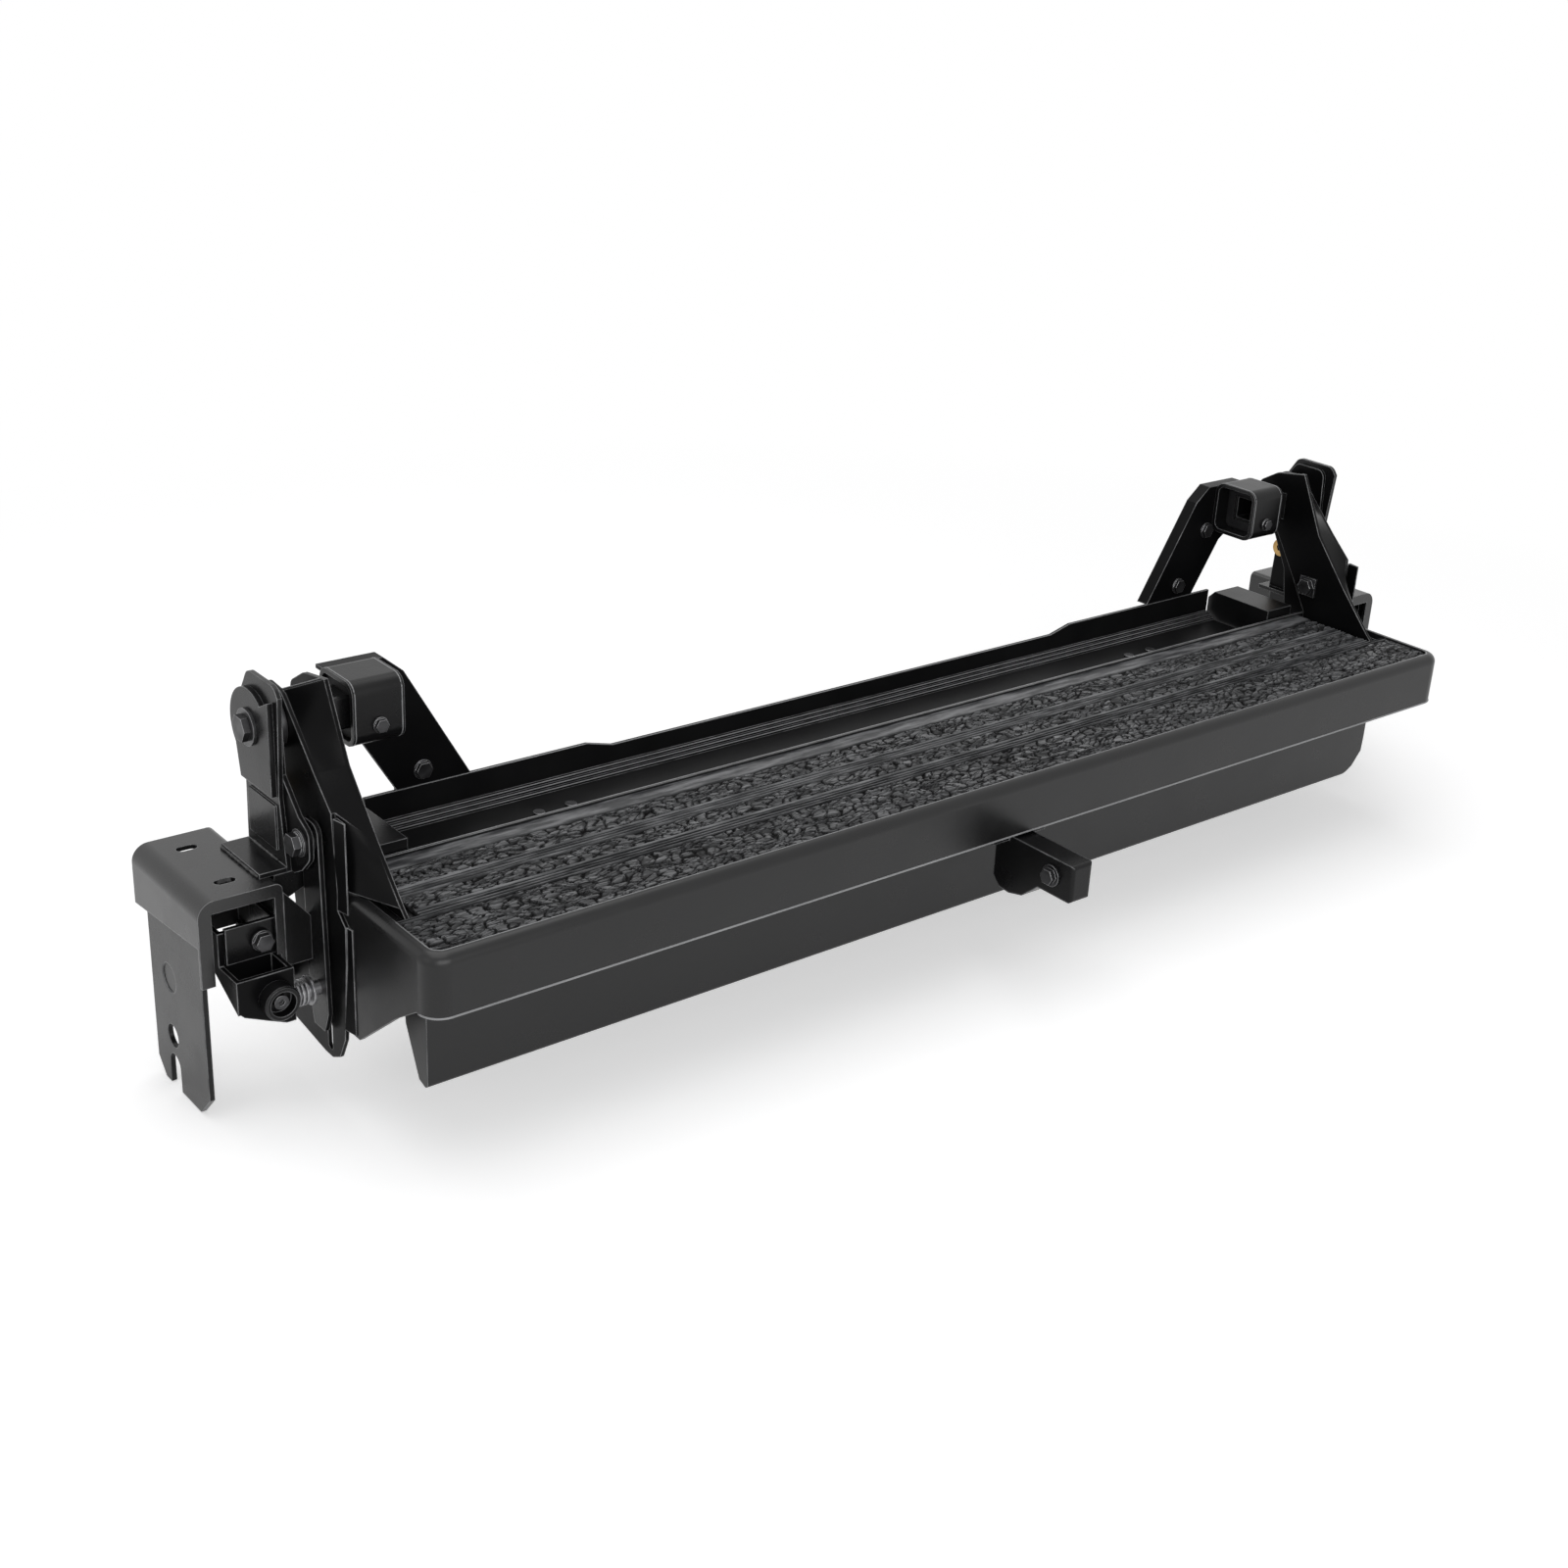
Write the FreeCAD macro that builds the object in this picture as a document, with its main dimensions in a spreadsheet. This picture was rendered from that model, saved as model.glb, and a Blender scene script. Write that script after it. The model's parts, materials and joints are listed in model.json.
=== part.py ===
import FreeCAD, Part
import Sketcher
import math
import os

# Retractable bed step, in millimetres. X runs along the step, minus Y is the side people step on from,
# Z is up. The origin is the middle of the four mounting slots, on the tops of the two mount channels.
# The right-hand pieces are drawn and the left-hand ones are their mirror images.

MAIN = {
    "hinge_y": -2, "hinge_z": 106, "half_length": 600,
    "sheet": 3, "plate": 4, "arm_plate": 3.5, "run_gap": 0.05,
}
CHANNEL = {
    "chan_gap": 32, "chan_wide": 69, "chan_half_y": 60, "chan_fold": 14,
    "chan_in_low": -66, "chan_out_back": -49, "chan_out_front": -38,
    "lip_width": 11, "lip_inner": 7, "lip_low": -72, "chan_web_y": 14,
    "slot_in": 34.5, "slot_y": 34, "slot_long": 17, "slot_wide": 9,
}
TAB = {
    "tab_thick": 4.5, "tab_back_y": 47, "tab_front_y": -49, "tab_top": -15, "tab_low": -196,
    "tab_hole_y": 14, "tab_hole_z": -149, "tab_hole_r": 10, "tab_slot_z": -176,
    "tab_dimple_y": 13, "tab_dimple_z": -96, "tab_dimple_r": 12.5,
}
UPRIGHT = {
    "post_gap": 17, "post_back_y": 20, "post_front_y": -46, "post_top": 149,
    "shelf_lip": 26, "lobe_r": 31, "cap_thick": 5, "cap_low": 59,
    "strap_gap": 6, "strap_y": -63, "strap_top": 48, "strap_low": -130, "strap_half": 14,
    "strap_bolt_z": 31, "bridge_low": -72,
    "bush_y": 8, "bush_z": 47, "bush_r": 7.5,
}
LATCH = {
    "latch_in": 14, "latch_z": -94, "pin_r": 6, "nose_gap": 0.8, "tail_in": 16, "tail_long": 16,
    "tail_over": 12, "tail_under": 8, "tail_half_y": 6, "collar_thick": 2, "collar_r": 12,
    "coil_r": 9.6, "coil_wire": 1.9, "coil_turns": 4,
    "knob_in": 20, "knob_z": -83, "knob_r": 14.5, "knob_out": 13.5, "knob_recess": 9,
    "bracket_out": 21, "bracket_deep": 34, "bracket_wide": 47, "bracket_low": -108,
    "bracket_out_low": -93, "bracket_top": -62, "tongue_top": -34, "peg_y": -0.2, "peg_z": -108,
    "peg_r": 5, "bumper_r": 9, "crank_r": 10, "crank_throw": 6, "crank_pin_r": 2.5, "shaft_r": 5,
    "clip_low": -60, "clip_top": -30, "clip_wide": 42, "clip_bolt_in": 18, "clip_bolt_z": -45,
}
ARM = {
    "web_deep": 25, "pivot_r": 8, "pivot_washer_r": 15, "pivot_head": 19,
    "latch_hole_r": 6.6, "pad_bolt_y": -63, "pad_bolt_z": 29,
}
TUBE = {
    "tube_half": 14, "tube_wall": 3, "box_gap": 48, "box_wide": 45, "box_half": 27, "box_round": 11,
    "box_hollow": 18, "plug_long": 30,
    "arm_bolt_low_in": 137, "arm_bolt_low_z": 23, "arm_bolt_top_in": 102, "arm_bolt_top_z": 80,
}
DECK = {
    "tray_front_y": -225, "tray_back_y": -57, "tray_low": -54, "tray_rim": -2, "tray_round": 9,
    "tray_corner": 18, "tray_wall": 4, "tray_floor": -9, "mat_top": -5, "mat_inset": 10, "mat_corner": 10,
    "mat_front_y": -216, "notch_wide": 32, "notch_y": -156,
    "deck_gap": 40, "deck_front_y": -217, "deck_top": -54, "rail_top": 2,
    "rail_end_top": 9, "rail_gap": 83, "rail_slope_x": 273, "rail_rise": 27, "rail_low": -15,
    "rail_step": 4, "rail_drop": 2.4, "trough_gap": 3, "cap_foot_y": -12,
    "pan_front_y": -166, "pan_low": -151, "pan_back_y": -134, "pan_knee_z": -106, "pan_toe_y": -153,
    "pan_gap": 29,
    "screw_r": 2.5, "floor_screw_a": 254, "floor_screw_b": 222, "floor_screw_y": -20,
    "lug_half": 12, "lug_front_y": -296, "lug_low": -92, "lug_bolt_y": -271, "lug_bolt_z": -74,
    "lug_screw_x": 22, "lug_screw_y": -190,
}


class Size:
    """A length that carries its number and its formula in the sheet of sizes."""

    def __init__(self, number, formula):
        self.number = number
        self.formula = formula

    def joined(self, other, sign, number):
        return Size(number, "(" + self.formula + " " + sign + " " + other.formula + ")")

    def __add__(self, other):
        other = sized(other)
        return self.joined(other, "+", self.number + other.number)

    def __sub__(self, other):
        other = sized(other)
        return self.joined(other, "-", self.number - other.number)

    def __mul__(self, other):
        other = sized(other)
        return self.joined(other, "*", self.number * other.number)

    def __radd__(self, other):
        return sized(other) + self

    def __rsub__(self, other):
        return sized(other) - self

    def __rmul__(self, other):
        return sized(other) * self

    def __neg__(self):
        return Size(-self.number, "(0 - " + self.formula + ")")


def sized(value):
    return value if isinstance(value, Size) else Size(float(value), "(" + repr(float(value)) + ")")


class Sizes:
    """Every driving dimension, by name."""


def write_sheet():
    sheet = doc.addObject("Spreadsheet::Sheet", "sizes")
    names = Sizes()
    row = 0
    for group in (MAIN, CHANNEL, TAB, UPRIGHT, LATCH, ARM, TUBE, DECK):
        for name, number in group.items():
            row += 1
            sheet.set("A" + str(row), name)
            sheet.set("B" + str(row), str(number))
            sheet.setAlias("B" + str(row), name)
            setattr(names, name, Size(float(number), "sizes." + name))
    return names


doc = FreeCAD.newDocument("bed_step")
d = write_sheet()
doc.recompute()
parts = []


def place_along():
    """Every place along the step is measured from the outer faces of the side arms."""
    end = d.half_length
    d.chan_in_x = end + d.chan_gap
    d.chan_out_x = d.chan_in_x + d.chan_wide
    d.slot_x = d.chan_in_x + d.slot_in
    d.post_x = end + d.post_gap
    d.inner_x = d.post_x - d.plate
    d.cap_x = d.post_x + d.plate
    d.collar_x = d.post_x + 0
    d.strap_x = end + d.strap_gap
    d.shelf_in_x = d.strap_x + 0
    d.bridge_x = d.strap_x + d.plate
    d.pin_nose_x = end + d.arm_plate + d.nose_gap
    d.tail_x = d.chan_in_x + d.tail_in
    d.tail_end_x = d.tail_x + d.tail_long
    d.knob_x = d.chan_in_x + d.knob_in
    d.bracket_out_x = d.chan_in_x + d.plate + d.bracket_wide
    d.clip_out_x = d.chan_in_x + d.plate + d.clip_wide
    d.clip_bolt_x = d.chan_in_x + d.clip_bolt_in
    d.web_in_x = end - d.web_deep
    d.box_out_x = end - d.box_gap
    d.box_in_x = d.box_out_x - d.box_wide
    d.notch_x = end - d.notch_wide
    d.deck_half_x = end - d.deck_gap
    d.rail_face_y = d.hinge_y + d.box_half
    d.rail_half_x = end - d.rail_gap
    d.rail_full_x = d.rail_slope_x + d.rail_rise
    d.pan_half_x = end - d.pan_gap


def place_across():
    """The latch bracket, the latch and the knob are measured from the front of the mount channels."""
    d.chan_front_y = -d.chan_half_y
    d.bracket_front_y = d.chan_front_y - d.bracket_out
    d.bracket_back_y = d.bracket_front_y + d.bracket_deep
    d.clip_front_y = d.bracket_back_y - 2 * d.plate
    d.latch_y = d.bracket_front_y + d.latch_in
    d.knob_front_y = d.bracket_front_y - d.knob_out


place_along()
place_across()
ARM_BOLT_SPOTS = (
    (d.half_length - d.arm_bolt_low_in, d.arm_bolt_low_z),
    (d.half_length - d.arm_bolt_top_in, d.arm_bolt_top_z))
FLOOR_SCREW_SPOTS = (
    (d.half_length - d.floor_screw_a, d.floor_screw_y),
    (d.half_length - d.floor_screw_b, d.floor_screw_y))


# outlines that a sketch can hold

def pin_point(sketch, shape, spot, a, b):
    for kind, size in (("DistanceX", a), ("DistanceY", b)):
        number = sketch.addConstraint(Sketcher.Constraint(kind, -1, 1, shape, spot, size.number))
        sketch.setExpression("Constraints[" + str(number) + "]", size.formula)


def hold_radius(sketch, shape, radius):
    number = sketch.addConstraint(Sketcher.Constraint("Radius", shape, radius.number))
    sketch.setExpression("Constraints[" + str(number) + "]", radius.formula)


class Outline:
    """A closed shape with straight sides."""

    def __init__(self, *points):
        self.points = [(sized(a), sized(b)) for a, b in points]

    def draw(self, sketch):
        first = sketch.GeometryCount
        count = len(self.points)
        spots = [FreeCAD.Vector(a.number, b.number, 0) for a, b in self.points]
        for i in range(count):
            sketch.addGeometry(Part.LineSegment(spots[i], spots[(i + 1) % count]), False)
        for i in range(count):
            following = first + (i + 1) % count
            sketch.addConstraint(Sketcher.Constraint("Coincident", first + i, 2, following, 1))
        for i, (a, b) in enumerate(self.points):
            pin_point(sketch, first + i, 1, a, b)


class Disc:
    """A circle."""

    def __init__(self, a, b, radius):
        self.a, self.b, self.radius = sized(a), sized(b), sized(radius)

    def draw(self, sketch):
        centre = FreeCAD.Vector(self.a.number, self.b.number, 0)
        up = FreeCAD.Vector(0, 0, 1)
        shape = sketch.addGeometry(Part.Circle(centre, up, self.radius.number), False)
        pin_point(sketch, shape, 3, self.a, self.b)
        hold_radius(sketch, shape, self.radius)


class Slot:
    """A slot with round ends, between two centres on a line along one axis."""

    def __init__(self, start, end, radius):
        self.start = (sized(start[0]), sized(start[1]))
        self.end = (sized(end[0]), sized(end[1]))
        self.radius = sized(radius)

    def draw(self, sketch):
        low = FreeCAD.Vector(self.start[0].number, self.start[1].number, 0)
        high = FreeCAD.Vector(self.end[0].number, self.end[1].number, 0)
        way = math.atan2(high.y - low.y, high.x - low.x)
        side = FreeCAD.Vector(-math.sin(way), math.cos(way), 0) * self.radius.number
        up = FreeCAD.Vector(0, 0, 1)
        quarter = math.pi / 2
        arcs = []
        for centre, begin in ((low, way + quarter), (high, way - quarter)):
            circle = Part.Circle(centre, up, self.radius.number)
            arc = Part.ArcOfCircle(circle, begin, begin + math.pi)
            arcs.append(sketch.addGeometry(arc, False))
        over = sketch.addGeometry(Part.LineSegment(high + side, low + side), False)
        under = sketch.addGeometry(Part.LineSegment(low - side, high - side), False)
        first, second = arcs
        sketch.addConstraint(Sketcher.Constraint("Tangent", over, 2, first, 1))
        sketch.addConstraint(Sketcher.Constraint("Tangent", first, 2, under, 1))
        sketch.addConstraint(Sketcher.Constraint("Tangent", under, 2, second, 1))
        sketch.addConstraint(Sketcher.Constraint("Tangent", second, 2, over, 1))
        pin_point(sketch, first, 3, *self.start)
        pin_point(sketch, second, 3, *self.end)
        hold_radius(sketch, first, self.radius)


def box(a_low, a_high, b_low, b_high):
    return Outline((a_low, b_low), (a_high, b_low), (a_high, b_high), (a_low, b_high))


def hexagon(a, b, flats):
    reach = flats * (1 / math.sqrt(3))
    corners = []
    for i in range(6):
        turn = math.radians(60 * i)
        corners.append((a + reach * round(math.cos(turn), 6), b + reach * round(math.sin(turn), 6)))
    return Outline(*corners)


# pieces

PLANES = {"x": ("YZ_Plane", 1), "y": ("XZ_Plane", -1), "z": ("XY_Plane", 1)}


class Piece:
    """One part of the step, built from sketches on its own planes. `across` is the axis a cut goes along."""

    def __init__(self, label):
        self.body = doc.addObject("PartDesign::Body", label)
        self.body.Label = label
        self.body.AllowCompound = True
        self.label = label
        self.steps = 0

    def sketch(self, across, at, loops):
        role, side = PLANES[across]
        plane = [f for f in self.body.Origin.OriginFeatures if f.Role == role][0]
        self.steps += 1
        drawing = self.body.newObject("Sketcher::SketchObject", self.label + "_sketch_" + str(self.steps))
        drawing.AttachmentSupport = [(plane, "")]
        drawing.MapMode = "FlatFace"
        drawing.setExpression(".AttachmentOffset.Base.z", (sized(at) * side).formula)
        for loop in loops:
            loop.draw(drawing)
        return drawing

    def feature(self, kind, drawing, length):
        made = self.body.newObject("PartDesign::" + kind, self.label + "_" + kind.lower() + str(self.steps))
        made.Profile = drawing
        made.setExpression("Length", sized(length).formula)
        drawing.Visibility = False
        return made

    def pad(self, across, start, end, *loops):
        base = end if across == "y" else start
        self.feature("Pad", self.sketch(across, base, loops), sized(end) - start)
        return self

    def cut(self, across, start, end, *loops):
        base = start if across == "y" else end
        self.feature("Pocket", self.sketch(across, base, loops), sized(end) - start)
        return self

    def loft(self, across, start, first, end, second):
        drawings = [self.sketch(across, start, [first]), self.sketch(across, end, [second])]
        made = self.body.newObject("PartDesign::AdditiveLoft", self.label + "_loft")
        made.Profile = drawings[0]
        made.Sections = [drawings[1]]
        made.Ruled = True
        return self

    def edges_near(self, spots):
        doc.recompute()
        shape = self.body.Tip.Shape
        names = []
        for x, y, z in spots:
            probe = Part.Vertex(sized(x).number, sized(y).number, sized(z).number)
            for i, edge in enumerate(shape.Edges):
                name = "Edge" + str(i + 1)
                if edge.distToShape(probe)[0] < 0.02 and name not in names:
                    names.append(name)
        return names

    def soften(self, kind, amount, *spots):
        names = self.edges_near(spots)
        tip = self.body.Tip
        self.steps += 1
        made = self.body.newObject("PartDesign::" + kind, self.label + "_" + kind.lower() + str(self.steps))
        made.Base = (tip, names)
        made.setExpression("Radius" if kind == "Fillet" else "Size", sized(amount).formula)
        return self

    def round(self, amount, *spots):
        return self.soften("Fillet", amount, *spots)

    def bevel(self, amount, *spots):
        return self.soften("Chamfer", amount, *spots)


def keep(thing, label):
    thing.Label = label
    parts.append(thing)


def mirrored(thing, name):
    copy = doc.addObject("Part::Mirroring", name)
    copy.Source = thing
    copy.Normal = FreeCAD.Vector(1, 0, 0)
    return copy


def both_sides(piece):
    """Keeps the right-hand piece and its left-hand mirror image."""
    name = piece.label
    keep(piece.body, "right_" + name)
    keep(mirrored(piece.body, "left_" + name), "left_" + name)


def paired(piece):
    """Keeps one group that holds the pieces of both ends."""
    name = piece.label
    other = mirrored(piece.body, name + "_left")
    group = doc.addObject("Part::Compound", name + "_group")
    group.Links = [piece.body, other]
    piece.body.Label = name + "_right"
    keep(group, name)


# fixed frame

def mount_channel():
    c = Piece("mount_channel")
    inside, outside = d.chan_in_x, d.chan_out_x
    wall = d.plate
    front, back = d.chan_front_y, d.chan_half_y
    c.pad("y", front, back, Outline(
        (inside, d.chan_in_low), (inside + wall, d.chan_in_low), (inside + wall, -wall),
        (outside - wall, -wall), (outside - wall, d.chan_out_back), (outside, d.chan_out_back),
        (outside, 0), (inside, 0)))
    c.cut("x", outside - wall - 2, outside + 1, Outline(
        (front - 1, d.chan_out_front), (back, d.chan_out_back), (back, d.chan_out_back - 1),
        (front - 1, d.chan_out_back - 1)))
    c.pad("y", front, front + d.sheet, Outline(
        (inside, 0), (outside, 0), (outside, d.lip_low), (outside - d.lip_width, d.lip_low),
        (outside - d.lip_width, -d.lip_width), (inside + d.lip_inner, -d.lip_width),
        (inside + d.lip_inner, d.clip_low), (inside, d.clip_low)))
    c.round(d.chan_fold, (outside, 5, 0))
    c.round(d.chan_fold - wall, (outside - wall, 5, -wall))
    c.round(wall + 2, (inside, 5, 0))
    web = d.chan_web_y
    c.pad("y", web, web + d.sheet, box(
        inside + wall, outside - wall - d.tab_thick, d.chan_in_low, -wall))
    half = (d.slot_long - d.slot_wide) * 0.5
    for y in (-d.slot_y, d.slot_y):
        c.cut("z", -wall - 1, 1, Slot((d.slot_x - half, y), (d.slot_x + half, y), d.slot_wide * 0.5))
    both_sides(c)


def slotted_tab():
    c = Piece("slotted_tab")
    outside = d.chan_out_x - d.plate
    inside = outside - d.tab_thick
    c.pad("x", inside, outside, Outline(
        (d.tab_front_y, d.tab_top), (d.tab_back_y, d.tab_top), (d.tab_back_y, d.tab_low + 14),
        (d.tab_back_y - 13, d.tab_low), (d.tab_front_y + 18, d.tab_low),
        (d.tab_front_y, d.tab_low + 19)))
    y = d.tab_hole_y
    r = d.tab_hole_r
    c.cut("x", inside - 1, outside + 1, Disc(y, d.tab_hole_z, r))
    c.cut("x", inside - 1, outside + 1, Slot((y, d.tab_low - 20), (y, d.tab_slot_z), r))
    c.cut("x", outside - 1, outside + 1, Disc(d.tab_dimple_y, d.tab_dimple_z, d.tab_dimple_r))
    both_sides(c)


def clip_angle():
    c = Piece("clip_angle")
    inside = d.chan_in_x + d.plate
    front = d.clip_front_y
    c.pad("y", front, front + d.plate, box(inside, d.clip_out_x, d.clip_low, d.clip_top))
    c.pad("x", inside, inside + d.plate, box(front, front + 40, d.clip_low, d.clip_top))
    c.cut("y", front - 1, front + d.plate + 1, Disc(d.clip_bolt_x, d.clip_bolt_z, 4))
    both_sides(c)


def clip_bolts():
    """A bolt with a spring washer at the front and a nut behind, at each end."""
    c = Piece("clip_bolts")
    x, z = d.clip_bolt_x, d.clip_bolt_z
    front = d.clip_front_y
    back = d.bracket_back_y
    c.pad("y", front - 9.5, front - 4, hexagon(x, z, sized(13)))
    c.pad("y", front - 4, back + 9, Disc(x, z, 4))
    c.pad("y", front - 4, front - 2, Disc(x, z, 8.5))
    c.pad("y", front - 2, front, Disc(x, z, 7))
    c.pad("y", back, back + 6.5, hexagon(x, z, sized(13)))
    paired(c)


def pivot_shelf():
    c = Piece("pivot_shelf")
    outside = d.chan_in_x
    back = d.post_back_y + 7
    c.pad("z", -d.plate, 0, box(d.shelf_in_x, outside, d.post_front_y, back))
    c.pad("x", outside - d.plate, outside, box(d.post_front_y, back, -d.shelf_lip, 0))
    c.pad("y", d.post_front_y, d.post_front_y + d.sheet, Outline(
        (d.shelf_in_x, 0), (outside, 0), (outside, -d.shelf_lip), (d.shelf_in_x, -15)))
    both_sides(c)


def pivot_upright():
    c = Piece("pivot_upright")
    inside, outside = d.post_x, d.post_x + d.plate
    y, z = d.hinge_y, d.hinge_z
    c.pad("x", inside, outside, Outline(
        (d.post_front_y, 0), (d.post_back_y, 0), (d.post_back_y - 2, d.cap_low),
        (y + d.lobe_r - 1, z - 8), (y + d.lobe_r - 1, z + 8), (y + 8, d.post_top),
        (d.post_front_y + 8, d.post_top), (d.post_front_y + 2, d.post_top - 8),
        (d.post_front_y + 8, d.cap_low)))
    c.pad("z", 0, d.plate, box(outside, d.chan_in_x + 12, d.post_front_y, d.post_back_y))
    c.cut("x", inside - 1, outside + 1, Disc(y, z, d.pivot_r + d.run_gap))
    c.pad("x", outside, outside + 2, box(d.post_front_y + 12, d.post_back_y - 8, 14, d.cap_low - 8))
    mid = inside + d.plate * 0.5
    c.round(10, (mid, y + 8, d.post_top), (mid, d.post_front_y + 8, d.post_top))
    c.round(10, (mid, y + d.lobe_r - 1, z + 8), (mid, y + d.lobe_r - 1, z - 8))
    both_sides(c)


def pivot_cap_plate():
    """The rounded plate on the outside of the upright that widens the pivot's bearing."""
    c = Piece("pivot_cap_plate")
    inside = d.cap_x
    outside = inside + d.cap_thick
    y, z, r = d.hinge_y, d.hinge_z, d.lobe_r
    front = d.post_front_y + 10
    c.pad("x", inside, outside, Disc(y, z, r))
    c.pad("x", inside, outside, Outline(
        (front, z + 30), (front, d.cap_low), (d.post_back_y - 4, d.cap_low), (y + r - 7, z - 18),
        (y, z + 12)))
    c.cut("x", inside - 1, outside + 1, Disc(y, z, d.pivot_r + d.run_gap))
    both_sides(c)


def upright_inner_plate():
    c = Piece("upright_inner_plate")
    inside, outside = d.inner_x, d.post_x
    y, z = d.hinge_y, d.hinge_z
    nose = d.strap_y - d.strap_half
    bolt = d.strap_bolt_z
    c.pad("x", inside, outside, Outline(
        (d.post_front_y - 4, 0), (d.post_back_y - 2, 0), (d.post_back_y - 4, d.cap_low),
        (y + d.lobe_r - 4, z - 10), (y + d.lobe_r - 4, z + 10), (y + 6, d.post_top - 5),
        (y - 30, d.post_top - 5), (y - 34, z - 30), (nose + 16, bolt + 20), (nose, bolt + 12),
        (nose, bolt - 10), (nose + 14, bolt - 24)))
    c.cut("x", inside - 1, outside + 1, Disc(y, z, d.pivot_r + d.run_gap))
    c.cut("x", inside - 1, outside + 1, Disc(d.strap_y, bolt, 5), Disc(d.bush_y, d.bush_z, d.bush_r))
    mid = inside + 1
    c.round(9, (mid, nose, bolt + 12), (mid, nose, bolt - 10))
    c.round(9, (mid, y + 6, d.post_top - 5), (mid, y - 30, d.post_top - 5))
    both_sides(c)


def support_strap():
    c = Piece("support_strap")
    inside, outside = d.strap_x, d.strap_x + d.plate
    y, half = d.strap_y, d.strap_half
    c.pad("x", inside, outside, Outline(
        (y - half, d.strap_top), (y + half, d.strap_top), (y + half - 4, d.strap_low + 18),
        (y + half - 9, d.strap_low), (y - half + 2, d.strap_low), (y - half - 5, d.strap_low + 18)))
    c.cut("x", inside - 1, outside + 1, Disc(d.latch_y, d.latch_z, d.pin_r + d.run_gap))
    c.cut("x", inside - 1, outside + 1, Disc(y, d.strap_bolt_z, 5))
    mid = inside + 2
    c.round(10, (mid, y - half, d.strap_top), (mid, y + half, d.strap_top))
    both_sides(c)


def strap_bridge():
    c = Piece("strap_bridge")
    inside, outside = d.bridge_x, d.chan_in_x
    c.pad("y", d.chan_front_y, d.chan_front_y + d.plate, Outline(
        (inside, d.bridge_low), (outside, d.bridge_low), (outside, -8), (inside, -34)))
    both_sides(c)


def strap_bolts():
    """The bolt that joins the strap to the upright, with its washers, at each end."""
    c = Piece("strap_bolts")
    y, z = d.strap_y, d.strap_bolt_z
    top = d.post_x
    c.pad("x", top + 3.5, top + 9.5, hexagon(y, z, sized(16)))
    c.pad("x", top, top + 2, Disc(y, z, 11))
    c.pad("x", top + 2, top + 3.5, Disc(y, z, 9))
    c.pad("x", d.strap_x, top + 3.5, Disc(y, z, 5))
    c.pad("x", d.strap_x + d.plate, d.inner_x, Disc(y, z, 10))
    paired(c)


def latch_bracket():
    """The box-shaped bracket under each channel that carries the latch and the stop peg."""
    c = Piece("latch_bracket")
    inside = d.chan_in_x + d.plate
    outside = d.bracket_out_x
    front, back = d.bracket_front_y, d.bracket_back_y
    wall = d.plate
    low, side_low = d.bracket_low, d.bracket_out_low
    c.pad("y", front, front + wall, Outline(
        (inside, d.bracket_top), (outside, d.bracket_top), (outside, side_low + 5),
        (outside - 5, side_low), (inside + 22, low + 6), (inside + 8, low), (inside, low)))
    c.pad("x", inside, inside + wall, Outline(
        (front, d.bracket_top), (d.peg_y + 12, d.bracket_top), (d.peg_y + 12, d.peg_z - 8),
        (d.peg_y + 4, d.peg_z - 14), (d.peg_y - 8, d.peg_z - 14), (front + 8, low), (front, low + 8)))
    c.pad("x", outside - wall, outside, Outline(
        (front, side_low + 3), (front + 40, side_low + 24), (front + 64, d.bracket_top + 12),
        (front + 64, d.tongue_top), (back - wall, d.tongue_top), (back - wall, d.bracket_top),
        (front, d.bracket_top)))
    c.pad("y", back - wall, back, Outline(
        (inside, d.latch_z + 12), (outside - wall, d.latch_z + 12), (outside - wall, d.tongue_top),
        (inside + wall + 1, d.tongue_top), (inside + wall + 1, d.bracket_top), (inside, d.bracket_top)))
    bumper_x = d.half_length - 4
    c.pad("x", bumper_x, inside, Disc(d.peg_y, d.peg_z, d.peg_r))
    c.cut("x", inside - 1, inside + wall + 1, Disc(d.latch_y, d.latch_z, d.pin_r + d.run_gap))
    c.cut("y", front - 1, front + wall + 1, Disc(d.knob_x, d.knob_z, d.shaft_r + d.run_gap))
    c.cut("y", back - wall - 1, back + 1, Disc(d.clip_bolt_x, d.clip_bolt_z, 4))
    both_sides(c)


def stop_bumpers():
    """Rubber sleeves on the stop pegs, one at each end."""
    c = Piece("stop_bumpers")
    start = d.half_length - 3
    c.pad("x", start, start + 15, Disc(d.peg_y, d.peg_z, d.bumper_r), Disc(d.peg_y, d.peg_z, d.peg_r))
    paired(c)


def brass_bushings():
    c = Piece("brass_bushings")
    y, z, r = d.bush_y, d.bush_z, d.bush_r
    start = d.inner_x - 4
    c.pad("x", start, d.post_x, Disc(y, z, r), Disc(y, z, r - 3.5))
    c.pad("x", start, start + 2, Disc(y, z, r + 2), Disc(y, z, r - 1))
    paired(c)


def friction_washers():
    c = Piece("friction_washers")
    start = d.half_length + d.arm_plate + 0.4
    y, z = d.hinge_y, d.hinge_z
    bore = Disc(y, z, d.pivot_r + d.run_gap)
    c.pad("x", start, d.inner_x, Disc(y, z, 22), bore)
    outer = d.cap_x + d.cap_thick
    c.pad("x", outer, outer + 2.5, Disc(y, z, d.pivot_washer_r), bore)
    paired(c)


# latch

def release_knob():
    c = Piece("release_knob")
    x, z = d.knob_x, d.knob_z
    back = d.bracket_front_y - 0.5
    front = d.knob_front_y
    c.pad("y", front, back, Disc(x, z, d.knob_r))
    c.cut("y", front - 1, front + d.knob_recess, Disc(x, z, d.knob_r - 4))
    c.cut("y", front, back + 1, Disc(x, z, d.shaft_r))
    c.bevel(1.2, (x + d.knob_r, front, z))
    both_sides(c)


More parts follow.
